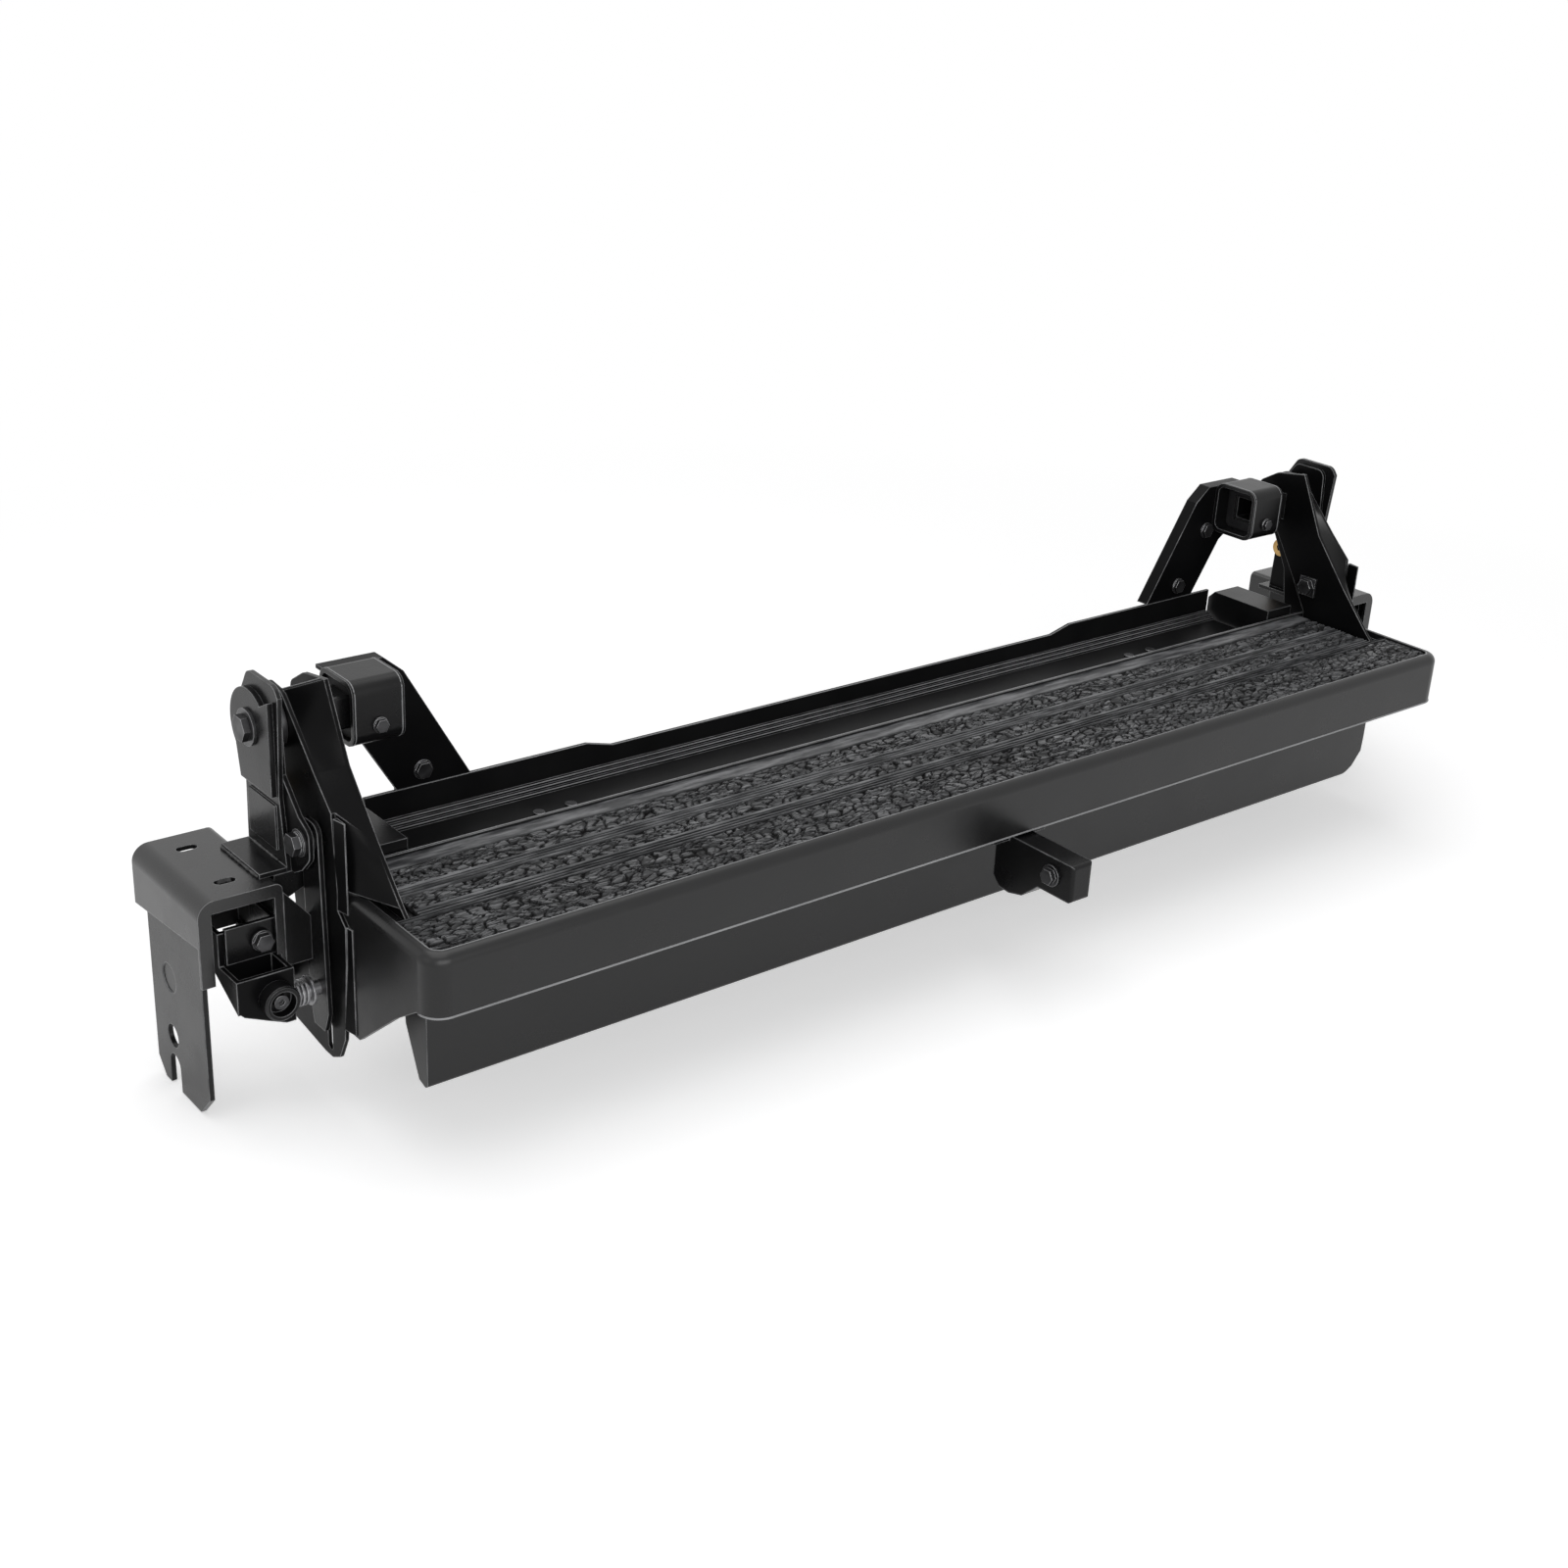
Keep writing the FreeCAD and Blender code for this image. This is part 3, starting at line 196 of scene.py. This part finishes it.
def coated_steel(name, dark, light, edge_highlight, rough=0.3, peel=0.25, edge=0.0014, gloss=0.5):
    """Satin powder coat: fine orange peel, faint cloudiness, and paler edges that are a painted highlight.
    """
    f = Finish(name, gloss)
    cloud = f.clouds(f.noise(scale=7.0, detail=4.0, rough=0.6), dark, light)
    soft = f.soft_edges(edge)
    patchy = f.spread(f.noise(scale=60.0, detail=3.0), "Fac", (0.35, 0.65), (0.4, 1.0))
    # painted highlight: the edges are blended in patches towards a pale colour
    lit_edges = f.maths("MULTIPLY", f.edge_mask(soft, (0.84, 0.99)), "Result", patchy, "Result")
    colour = f.blend(lit_edges, "Value", cloud, edge_highlight)
    grain = f.bump(f.noise(scale=420.0), "Fac", depth=0.0002, strength=peel, after=soft)
    speck = f.noise(scale=900.0, detail=1.0)
    grain = f.bump(speck, "Fac", depth=0.00008, strength=peel * 0.7, after=grain)
    blotch = f.noise(scale=24.0, detail=3.0)
    shine = f.spread(blotch, "Fac", (0.3, 0.7), (rough - 0.05, rough + 0.06))
    return f.finish(colour, grain, shine)


def moulded(name, dark, light, edge_highlight, rough, skin):
    """Injection-moulded plastic with a pebbled skin, and paler edges that are a painted highlight."""
    f = Finish(name, gloss=0.22)
    cloud = f.noise(scale=16.0, detail=3.0)
    soft = f.soft_edges(0.0012)
    # painted highlight: the edges are blended towards a pale colour
    colour = f.blend(f.edge_mask(soft, (0.80, 0.985)), "Result", f.clouds(cloud, dark, light), edge_highlight)
    pebble = f.texture("ShaderNodeTexVoronoi", Scale=620.0)
    grain = f.bump(pebble, "Distance", depth=0.0002, strength=skin, after=soft)
    speck = f.noise(scale=1500.0, detail=1.0)
    grain = f.bump(speck, "Fac", depth=0.00006, strength=skin, after=grain)
    shine = f.spread(cloud, "Fac", (0.3, 0.7), (rough - 0.04, rough + 0.05))
    return f.finish(colour, grain, shine)


def without_chips(f, axes):
    """One where the mat has no chips, on its bands of ridges and its rear strip, and zero elsewhere."""
    band_middle, band_half = 0.0085, 0.0087
    strip_centre, strip_half = -0.069, 0.0105
    strips = [(back / MM - band_middle, band_half) for back in RIDGE_BACKS]
    strips.append((strip_centre, strip_half))
    total = None
    for centre, half in strips:
        strip = f.node("ShaderNodeMath", operation="COMPARE")
        f.join(axes, "Y", strip, 0)
        strip.inputs[1].default_value = centre
        strip.inputs[2].default_value = half
        total = strip if total is None else f.maths("MAXIMUM", total, "Value", strip, "Value")
    return total


def rubber_mat(name):
    """Moulded mat: its own paler tone on the raised flakes and ridges, and painted shade that makes it near
    black in the cracks and darkens it along fine chips, which are also a bump.
    """
    f = Finish(name, gloss=0.26)
    crack_floor, flake_top = -0.0070, -0.0044
    axes = f.node("ShaderNodeSeparateXYZ")
    f.join(f.place, "Object", axes, "Vector")
    height = f.spread(axes, "Z", (crack_floor, flake_top))
    wide_cells = f.stretched((0.3, 1, 1))
    chips = f.texture("ShaderNodeTexVoronoi", wide_cells, feature="DISTANCE_TO_EDGE", Scale=230.0)
    # painted shade: the chip lines darken the colour, and they also bump the surface
    chip_shade = f.spread(chips, "Distance", (0.015, 0.1), (0.5, 1.0))
    whole = f.maths("MAXIMUM", chip_shade, "Result", without_chips(f, axes), "Value")
    level = f.maths("MULTIPLY", height, "Result", whole, "Value")
    height_shading = f.maths("MULTIPLY", level, "Value", level, "Value")
    streak = f.noise(scale=170.0, detail=3.0, rough=0.6, mapping=f.stretched((0.16, 1, 1)))
    tops = f.clouds(streak, (0.022, 0.023, 0.025), (0.17, 0.172, 0.178), (0.4, 0.66))
    # painted shade: the colour goes near black as the relief gets lower, towards the cracks
    colour = f.blend(height_shading, "Value", (0.0015, 0.0015, 0.0017), tops)
    grain = f.bump(streak, "Fac", depth=0.0007, strength=0.5)
    grain = f.bump(whole, "Value", depth=0.0006, strength=0.5, after=grain)
    shine = f.spread(height_shading, "Value", (0.0, 0.7), (0.85, 0.4))
    return f.finish(colour, grain, shine)


def dark_rubber(name):
    """Plain dull rubber of the bumpers and liners."""
    f = Finish(name, gloss=0.35)
    cloud = f.noise(scale=40.0, detail=3.0)
    colour = f.clouds(cloud, (0.008, 0.008, 0.009), (0.014, 0.014, 0.015))
    soft = f.soft_edges(0.0008)
    grain = f.bump(f.noise(scale=1100.0), "Fac", depth=0.0001, strength=0.3, after=soft)
    shine = f.spread(cloud, "Fac", (0.3, 0.7), (0.6, 0.75))
    return f.finish(colour, grain, shine)


def bare_metal(name, dark, light, edge_highlight, rough, brush, metallic=1.0):
    """Plated or turned metal with fine turning marks, and paler edges that are a painted highlight."""
    f = Finish(name, gloss=0.5)
    f.shader.inputs["Metallic"].default_value = metallic
    cloud = f.clouds(f.noise(scale=55.0, detail=4.0, rough=0.6), dark, light, (0.35, 0.65))
    soft = f.soft_edges(0.0006)
    # painted highlight: the edges are blended towards a pale colour
    colour = f.blend(f.edge_mask(soft, (0.80, 0.985)), "Result", cloud, edge_highlight)
    marks = f.noise(scale=800.0, mapping=f.stretched((6, 1, 1)))
    grain = f.bump(marks, "Fac", depth=0.0001, strength=brush, after=soft)
    blotch = f.noise(scale=90.0, detail=3.0)
    shine = f.spread(blotch, "Fac", (0.3, 0.7), (rough - 0.07, rough + 0.1))
    return f.finish(colour, grain, shine)


# The third colour of each coated, moulded and bare finish is a painted highlight along its edges.
finishes = {
    "frame_coat": coated_steel(
        "frame_coat_look", (0.004, 0.004, 0.0043), (0.008, 0.008, 0.0084), (0.32, 0.323, 0.33),
        rough=0.26, edge=0.0015, gloss=0.25),
    # A lighter copy of the black coat: painted light on the mount channels.
    "channel_lit_coat": coated_steel(
        "channel_lit_coat_look", (0.007, 0.007, 0.0073), (0.013, 0.013, 0.0134), (0.3, 0.303, 0.31),
        rough=0.26, gloss=0.55),
    "step_coat": coated_steel(
        "step_coat_look", (0.006, 0.006, 0.0063), (0.0085, 0.0085, 0.0089), (0.28, 0.283, 0.29),
        peel=0.2, gloss=0.38),
    # A darker copy of the black coat: painted shade on the arms, inner plates and latch brackets.
    "arm_shade_coat": coated_steel(
        "arm_shade_coat_look", (0.0022, 0.0022, 0.0024), (0.005, 0.005, 0.0053), (0.36, 0.363, 0.37),
        rough=0.32, edge=0.0017, gloss=0.07),
    # A darker, duller copy of the black coat: painted shade on the rear rail in its trough.
    "rail_shade_coat": coated_steel(
        "rail_shade_coat_look", (0.003, 0.003, 0.0032), (0.006, 0.006, 0.0063), (0.3, 0.303, 0.31),
        rough=0.4, edge=0.0012, gloss=0.12),
    "cast_coat": coated_steel(
        "cast_coat_look", (0.004, 0.004, 0.0043), (0.007, 0.007, 0.0073), (0.24, 0.243, 0.25),
        rough=0.28, peel=0.3, edge=0.0024, gloss=0.2),
    # Painted highlight: a pale coat for the beads, lips, lines and rims that stand in for bright lines of
    # light along edges.
    "painted_highlight": coated_steel(
        "painted_highlight_look", (0.2, 0.202, 0.208), (0.3, 0.303, 0.31), (0.36, 0.36, 0.37),
        rough=0.25, peel=0.1, edge=0.0004),
    "weld": coated_steel(
        "weld_look", (0.005, 0.005, 0.0053), (0.01, 0.01, 0.0105), (0.2, 0.2, 0.205),
        rough=0.26, peel=0.6, edge=0.0006),
    "moulded_plastic": moulded(
        "moulded_plastic_look", (0.0035, 0.0035, 0.0038), (0.006, 0.006, 0.0063), (0.24, 0.243, 0.25),
        rough=0.3, skin=0.3),
    "mat_rubber": rubber_mat("mat_rubber_look"),
    "dark_rubber": dark_rubber("dark_rubber_look"),
    "dark_zinc": bare_metal(
        "dark_zinc_look", (0.04, 0.04, 0.042), (0.08, 0.08, 0.083), (0.45, 0.45, 0.46),
        rough=0.34, brush=0.3, metallic=0.85),
    "plain_steel": bare_metal(
        "plain_steel_look", (0.26, 0.26, 0.27), (0.38, 0.38, 0.39), (0.6, 0.6, 0.61),
        rough=0.32, brush=0.35),
    "washer_steel": bare_metal(
        "washer_steel_look", (0.06, 0.06, 0.062), (0.1, 0.1, 0.103), (0.4, 0.4, 0.41),
        rough=0.32, brush=0.3, metallic=0.8),
    "brass": bare_metal(
        "brass_look", (0.32, 0.2, 0.075), (0.46, 0.3, 0.12), (0.7, 0.5, 0.26),
        rough=0.35, brush=0.3),
}

# Each part wears the finish that its slot is named after, apart from those named here.
finish_of = {part["node"]: part["material_slot"] for part in frame["record"]["subparts"]}
# Painted shade: the rear rail wears a darker copy of the coat; the pull lug wears the cast coat.
finish_of.update({"pull_lug": "cast_coat", "rear_rail": "rail_shade_coat"})
# Painted light: the mount channels wear the lighter copy of the coat.
finish_of.update(dict.fromkeys(both("mount_channel"), "channel_lit_coat"))
# Painted shade: the arms, inner plates and latch brackets wear the darker copy of the coat.
shaded_parts = both("side_arm", "upright_inner_plate", "latch_bracket", "rear_arm")
finish_of.update(dict.fromkeys(shaded_parts, "arm_shade_coat"))
for name, thing in nodes.items():
    thing.data.materials.clear()
    thing.data.materials.append(finishes[finish_of[name]])


# pieces

def new_piece(name, points, faces, finish, body, smooth=True):
    """A mesh with one finish, which rides on a body. Points are in metres."""
    mesh = bpy.data.meshes.new(name)
    mesh.from_pydata([tuple(p) for p in points], [], faces)
    mesh.update()
    mesh.polygons.foreach_set("use_smooth", [smooth] * len(mesh.polygons))
    mesh.materials.append(finishes[finish])
    thing = bpy.data.objects.new(name, mesh)
    bpy.context.scene.collection.objects.link(thing)
    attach(thing, body)
    return thing


def flake_height(x, y):
    """Relief of the mat: long tilted flakes with cracks between them, from a jittered grid of centres."""
    flake_long, flake_deep = 13.0, 4.8
    columns, rows, middle_column, middle_row = 220, 160, 90, 80
    off_centre, lowest_level, far = 0.47, 0.55, 9.0
    lean_x, lean_y, lean_back = 0.4, 0.9, 0.35
    crack_start, crack_slope = 0.04, 0.1
    low_flake, flake_rise = 0.3, 0.7
    spots = np.random.default_rng(7)
    jitter = spots.uniform(-off_centre, off_centre, (columns, rows, 2))
    lean = spots.uniform(-1.0, 1.0, (columns, rows, 2))
    level = spots.uniform(lowest_level, 1.0, (columns, rows))
    warp = 4.2 * np.sin(x * 0.085 + 1.3 * np.sin(y * 0.17)) + 2.4 * np.sin(x * 0.037 + y * 0.23)
    u = (x + 2.4 * np.sin(y * 0.31 + x * 0.05)) / flake_long + middle_column
    v = (y + warp) / flake_deep + middle_row
    cell_u, cell_v = np.floor(u).astype(int), np.floor(v).astype(int)
    nearest = np.full(x.shape, far)
    second = np.full(x.shape, far)
    tilt = np.zeros(x.shape)
    for i in (-1, 0, 1):
        for j in (-1, 0, 1):
            a = np.clip(cell_u + i, 0, columns - 1)
            b = np.clip(cell_v + j, 0, rows - 1)
            du = u - (a + 0.5 + jitter[a, b, 0])
            dv = v - (b + 0.5 + jitter[a, b, 1])
            reach = np.sqrt(du * du + dv * dv)
            closer = reach < nearest
            second = np.where(closer, nearest, np.minimum(second, reach))
            slope_x, slope_y = lean_x * lean[a, b, 0], lean_y * (lean_back + lean[a, b, 1])
            tilt = np.where(closer, level[a, b] + slope_x * du + slope_y * dv, tilt)
            nearest = np.where(closer, reach, nearest)
    crack = np.clip((second - nearest - crack_start) / crack_slope, 0, 1)
    return crack * (low_flake + flake_rise * np.clip(tilt, 0, 1))


def ridge_height(forward):
    """Profile across a band, forward of its back edge: a broad ridge, then three narrow ones."""
    shoulder, flank = 0.5, 0.7
    height = np.zeros(forward.shape)
    for centre, half in ((1.8, 1.7), (6.4, 0.9), (10.4, 0.9), (14.4, 0.9)):
        height = np.maximum(height, np.clip((half + shoulder - np.abs(forward - centre)) / flank, 0, 1))
    return height


def mat_height(x, y, end, front, back):
    """Height of the mat's top, from zero to one: flakes, a plain border, bands of ridges, a rear strip."""
    border_wide, border_height = 3.0, 0.85
    band_half, band_middle, band_fade = 8.6, 8.3, 0.6
    band_floor, ridge_rise = 0.12, 0.88
    strip_before, strip_fade = 1.0, 1.5
    strip_ramp, strip_low, strip_top = 2.0, 0.1, 0.92
    border = np.clip(np.minimum(y - front, end - np.abs(x)) / border_wide, 0, 1)
    height = flake_height(x, y) * border + border_height * (1 - border)
    for ridge_back in RIDGE_BACKS:
        band = np.clip((band_half - np.abs(y - ridge_back + band_middle)) / band_fade, 0, 1)
        ridges = band_floor + ridge_rise * ridge_height(ridge_back - y)
        height = height * (1 - band) + ridges * band
    behind = y - (back - REAR_STRIP)
    strip = np.clip((behind + strip_before) / strip_fade, 0, 1)
    return height * (1 - strip) + np.clip(behind / strip_ramp, strip_low, strip_top) * strip


def mat_quads(x, y, end, front):
    """Faces of the mat's grid, without the rounded front corner and the notch round the arm's foot."""
    corner = 10.0
    out_x, out_y = np.abs(x) - (end - corner), front + corner - y
    inside = ~((out_x > 0) & (out_y > 0) & (np.hypot(out_x, out_y) > corner))
    number = np.arange(x.size).reshape(x.shape)
    mid_x = (x[:-1, :-1] + x[1:, 1:]) / 2
    mid_y = (y[:-1, :-1] + y[1:, 1:]) / 2
    use = inside[:-1, :-1] & inside[1:, :-1] & inside[:-1, 1:] & inside[1:, 1:]
    use &= ~((np.abs(mid_x) > NOTCH_X) & (mid_y > NOTCH_Y))
    return np.stack([number[:-1, :-1], number[1:, :-1], number[1:, 1:], number[:-1, 1:]], -1)[use]


def close_rim(mesh, foot):
    """Drops the points that no face uses, and lets a wall down from the rim to the foot."""
    work = bmesh.new()
    work.from_mesh(mesh)
    loose = [v for v in work.verts if not v.link_faces]
    bmesh.ops.delete(work, geom=loose, context="VERTS")
    rim = [e for e in work.edges if len(e.link_faces) == 1]
    grown = bmesh.ops.extrude_edge_only(work, edges=rim)["geom"]
    for v in grown:
        if isinstance(v, bmesh.types.BMVert):
            v.co.z = foot
    work.to_mesh(mesh)
    work.free()


def mat_surface(side):
    """One half of the mat's top, with its relief. The two halves meet at x 0."""
    step_x, step_y = 1.5, 0.8
    foot_up, crack_up, top_down = 0.05, 1.3, 0.2
    low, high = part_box("tread_mat")
    end, front, back = high.x * MM, low.y * MM, high.y * MM
    foot, base = low.z * MM + foot_up, low.z * MM + crack_up
    rise = high.z * MM - top_down - base
    columns = [np.arange(0.0, end, step_x), [end, NOTCH_X]]
    rows = [np.arange(front, back, step_y), [back, NOTCH_Y, back - REAR_STRIP]]
    xs = np.sort(side * np.unique(np.concatenate(columns)))
    ys = np.unique(np.round(np.concatenate(rows), 2))
    x, y = np.meshgrid(xs, ys, indexing="ij")
    top = base + mat_height(x, y, end, front, back) * rise
    points = np.stack([x, y, top], -1).reshape(-1, 3) / MM
    faces = mat_quads(x, y, end, front).tolist()
    name = "mat_relief_right" if side > 0 else "mat_relief_left"
    piece = new_piece(name, points, faces, "mat_rubber", "step", smooth=False)
    close_rim(piece.data, foot / MM)
    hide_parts("tread_mat")


def tubes(name, paths, radius, finish, body, closed=False, lumps=0.0):
    """Beads of round section along lists of points in millimetres, joined into one piece."""
    points, faces, sides = [], [], 8
    swell = np.random.default_rng(11)
    aside = Vector((0.13, 0.31, 0.94))
    for path in paths:
        count, first = len(path), len(points)
        for i, spot in enumerate(path):
            before = path[(i - 1) % count] if closed else path[max(i - 1, 0)]
            after = path[(i + 1) % count] if closed else path[min(i + 1, count - 1)]
            ahead = (Vector(after) - Vector(before)).normalized()
            across = ahead.cross(aside).normalized()
            upward = across.cross(ahead)
            size = radius * (1 + lumps * swell.uniform(-1, 1))
            for k in range(sides):
                turn = 2 * math.pi * k / sides
                point = Vector(spot) + across * math.cos(turn) * size + upward * math.sin(turn) * size
                points.append(point / MM)
        for i in range(count if closed else count - 1):
            here, there = first + i * sides, first + (i + 1) % count * sides
            for k in range(sides):
                faces.append((here + k, here + (k + 1) % sides, there + (k + 1) % sides, there + k))
        if not closed:
            last = first + (count - 1) * sides
            faces.append(tuple(range(first, first + sides))[::-1])
            faces.append(tuple(range(last, last + sides)))
    return new_piece(name, points, faces, finish, body)


def tray_run(inset, z, back):
    """Points along the tray's left end, front and right end, at an inset from its outside."""
    outer_corner, corner_share, parts = 18.0, 0.8, 8
    front_end, front_step = 560, 80
    low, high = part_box("tread_tray")
    side, front = high.x * MM - inset, low.y * MM + inset
    corner = outer_corner - inset * corner_share
    turns = [math.pi / 2 * k / parts for k in range(parts + 1)]
    bend = [(side - corner + corner * math.cos(t), front + corner - corner * math.sin(t)) for t in turns]
    path = [(-side, back, z)]
    path += [(-x, y, z) for x, y in bend]
    path += [(x, front, z) for x in range(-front_end, front_end + 1, front_step)]
    path += [(x, y, z) for x, y in reversed(bend)]
    path.append((side, back, z))
    return path


def tray_lines():
    """A thin pale bead along the tray's lower edge and a pale lip round the mat, both painted highlights.
    """
    bead_inset, bead_z, bead_back, bead_radius = 0.2, -53.4, -207.0, 1.0
    lip_inset, lip_back, lip_radius = 9.2, -160.0, 0.65
    lip_down, rear_in, rear_end, rear_step = 0.45, 0.9, 568, 142
    bead = tray_run(bead_inset, bead_z, bead_back)
    tubes("tray_lower_bead", [bead], bead_radius, "painted_highlight", "step")
    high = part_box("tread_tray")[1]
    rim, back = high.z * MM - lip_down, high.y * MM - rear_in
    front = tray_run(lip_inset, rim, lip_back)
    rear = [(x, back, rim) for x in range(-rear_end, rear_end + 1, rear_step)]
    tubes("mat_lip", [front, rear], lip_radius, "painted_highlight", "step")


def rail_lines():
    """Pale lines along the rear rail's top edge and the edges of its three steps, as painted highlights."""
    end, dip_outer, dip_inner = 516.0, 300.0, 273.0
    face, high, low, radius = 25.4, 8.7, 1.7, 0.5
    first_y, first_z, step_in, step_down = 21.3, -15.2, 4.0, 2.4
    top = [(-end, face, high), (-dip_outer, face, high), (-dip_inner, face, low)]
    top += [(x, face, low) for x in range(-195, 196, 65)]
    top += [(dip_inner, face, low), (dip_outer, face, high), (end, face, high)]
    paths = [top]
    for step in range(3):
        y, z = first_y - step * step_in, first_z - step * step_down
        paths.append([(end * k / 8, y, z) for k in range(-8, 9)])
    tubes("rail_lines", paths, radius, "painted_highlight", "step")


def clamp_rims():
    """The raised rim near each end of both box clamps, made pale as a painted highlight."""
    rim_in, sink, corner, parts, radius = 2.2, 0.2, 11.0, 6, 0.6
    paths = []
    for clamp in both("box_clamp"):
        low, high = (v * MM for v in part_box(clamp))
        y, z = (low.y + high.y) / 2, (low.z + high.z) / 2
        flat = (high.z - low.z) / 2 - sink - corner
        for x in (low.x + rim_in, high.x - rim_in):
            ring = []
            for quarter, (way_y, way_z) in enumerate(((1, 1), (-1, 1), (-1, -1), (1, -1))):
                for k in range(parts + 1):
                    turn = math.pi / 2 * (quarter + k / parts)
                    across, upward = corner * math.cos(turn), corner * math.sin(turn)
                    ring.append((x, y + way_y * flat + across, z + way_z * flat + upward))
            paths.append(ring)
    tubes("clamp_rims", paths, radius, "painted_highlight", "step", closed=True)


def weld_beads():
    """Weld seams of the brackets: tab on the channel, shelf on the channel, upright's foot on the shelf."""
    tab_x, tab_z, tab_slope = 697.4, -44.0, 11 / 120
    shelf_x, shelf_z = 644.0, 1.0
    foot_x, foot_z = 621.4, 4.6
    radius, lumps = 1.7, 0.28
    paths = []
    for side in (-1, 1):
        paths.append([(side * tab_x, y, tab_z - y * tab_slope) for y in range(-46, 46, 2)])
        paths.append([(side * shelf_x, y, shelf_z) for y in range(-44, 19, 2)])
        paths.append([(side * foot_x, y, foot_z) for y in range(-32, 12, 2)])
    tubes("weld_beads", paths, radius, "weld", "mount_frame", lumps=lumps)


mat_surface(-1)
mat_surface(1)
tray_lines()
rail_lines()
clamp_rims()
weld_beads()


# stage

def build_floor():
    """A pale floor that keeps the shadow and turns to plain white away from the object."""
    reach, gap, glow_strength = 30.0, 0.001, 0.42
    fade_span = (0.75, 1.7)
    low = cad_box[0][2] - gap
    corners = [(-reach, -reach, low), (reach, -reach, low), (reach, reach, low), (-reach, reach, low)]
    mesh = bpy.data.meshes.new("floor")
    mesh.from_pydata(corners, [], [(0, 1, 2, 3)])
    floor = bpy.data.objects.new("floor", mesh)
    bpy.context.scene.collection.objects.link(floor)
    f = Finish("floor_look", gloss=0.1)
    f.shader.inputs["Base Color"].default_value = (0.9, 0.9, 0.905, 1)
    f.shader.inputs["Roughness"].default_value = 0.9
    f.shader.inputs["Emission Color"].default_value = (1, 1, 1, 1)
    seen = f.seen()
    glow = f.spread(seen, "Value", onto=(0.0, glow_strength))
    f.join(glow, "Result", f.shader, "Emission Strength")
    place = f.node("ShaderNodeNewGeometry")
    away = f.node("ShaderNodeVectorMath", operation="LENGTH")
    f.join(place, "Position", away, 0)
    fade = f.spread(away, "Value", fade_span)
    share = f.maths("MULTIPLY", fade, "Result", seen, "Value")
    white = f.node("ShaderNodeEmission")
    blend = f.node("ShaderNodeMixShader")
    f.join(share, "Value", blend, 0)
    f.join(f.shader, "BSDF", blend, 1)
    f.join(white, "Emission", blend, 2)
    f.join(blend, "Shader", f.surface, "Surface")
    mesh.materials.append(f.material)


def build_world():
    """Soft light from all round, and plain white where the camera or a reflection looks past the floor."""
    light_strength, seen_strength = 0.3, 1.0
    world = bpy.data.worlds.new("studio")
    bpy.context.scene.world = world
    world.use_nodes = True
    network = Network(world.node_tree)
    shader = world.node_tree.nodes["Background"]
    shader.inputs["Color"].default_value = (1, 1, 1, 1)
    strength = network.spread(network.seen(), "Value", onto=(light_strength, seen_strength))
    network.join(strength, "Result", shader, "Strength")


def area_lamp(name, spot, target, size, power):
    """A rectangular lamp at a spot, turned to a target. The power is in watts."""
    lamp = bpy.data.lights.new(name, "AREA")
    lamp.shape = "RECTANGLE"
    lamp.size, lamp.size_y = size
    lamp.energy = power
    thing = bpy.data.objects.new(name, lamp)
    bpy.context.scene.collection.objects.link(thing)
    thing.location = spot
    way = Vector(target) - Vector(spot)
    thing.rotation_euler = way.to_track_quat("-Z", "Y").to_euler()


def build_camera():
    """The photograph's viewpoint, as fitted to the object's edges in it."""
    spot = (-1.253794, -1.397917, 0.735211)
    sensor, photo_width, focal_pixels = 36.0, 1600.0, 2161.64
    yaw, pitch, roll = (math.radians(v) for v in (39.6576, 23.8989, 2.9704))
    look = Vector((math.sin(yaw) * math.cos(pitch), math.cos(yaw) * math.cos(pitch), -math.sin(pitch)))
    right = Vector((math.cos(yaw), -math.sin(yaw), 0))
    up = right.cross(look)
    camera = bpy.data.cameras.new("view")
    camera.sensor_width = sensor
    camera.lens = sensor * focal_pixels / photo_width
    camera.clip_start, camera.clip_end = 0.05, 60.0
    thing = bpy.data.objects.new("view", camera)
    bpy.context.scene.collection.objects.link(thing)
    turn = thing.matrix_world.to_3x3()
    turn.col[0] = math.cos(roll) * right + math.sin(roll) * up
    turn.col[1] = -math.sin(roll) * right + math.cos(roll) * up
    turn.col[2] = -look
    place = turn.to_4x4()
    place.translation = Vector(spot)
    thing.matrix_world = place
    bpy.context.scene.camera = thing


build_floor()
build_world()
area_lamp("top_light", spot=(-0.3, 0.2, 2.6), target=(0, 0, 0), size=(3.4, 2.6), power=40)
area_lamp("front_light", spot=(-0.9, -2.7, 0.8), target=(0, 0, -0.05), size=(2.6, 1.4), power=34)
area_lamp("left_light", spot=(-2.8, -0.3, 1.0), target=(-0.3, 0, 0), size=(1.6, 1.6), power=4)
build_camera()
bpy.context.scene.view_settings.view_transform = "Standard"
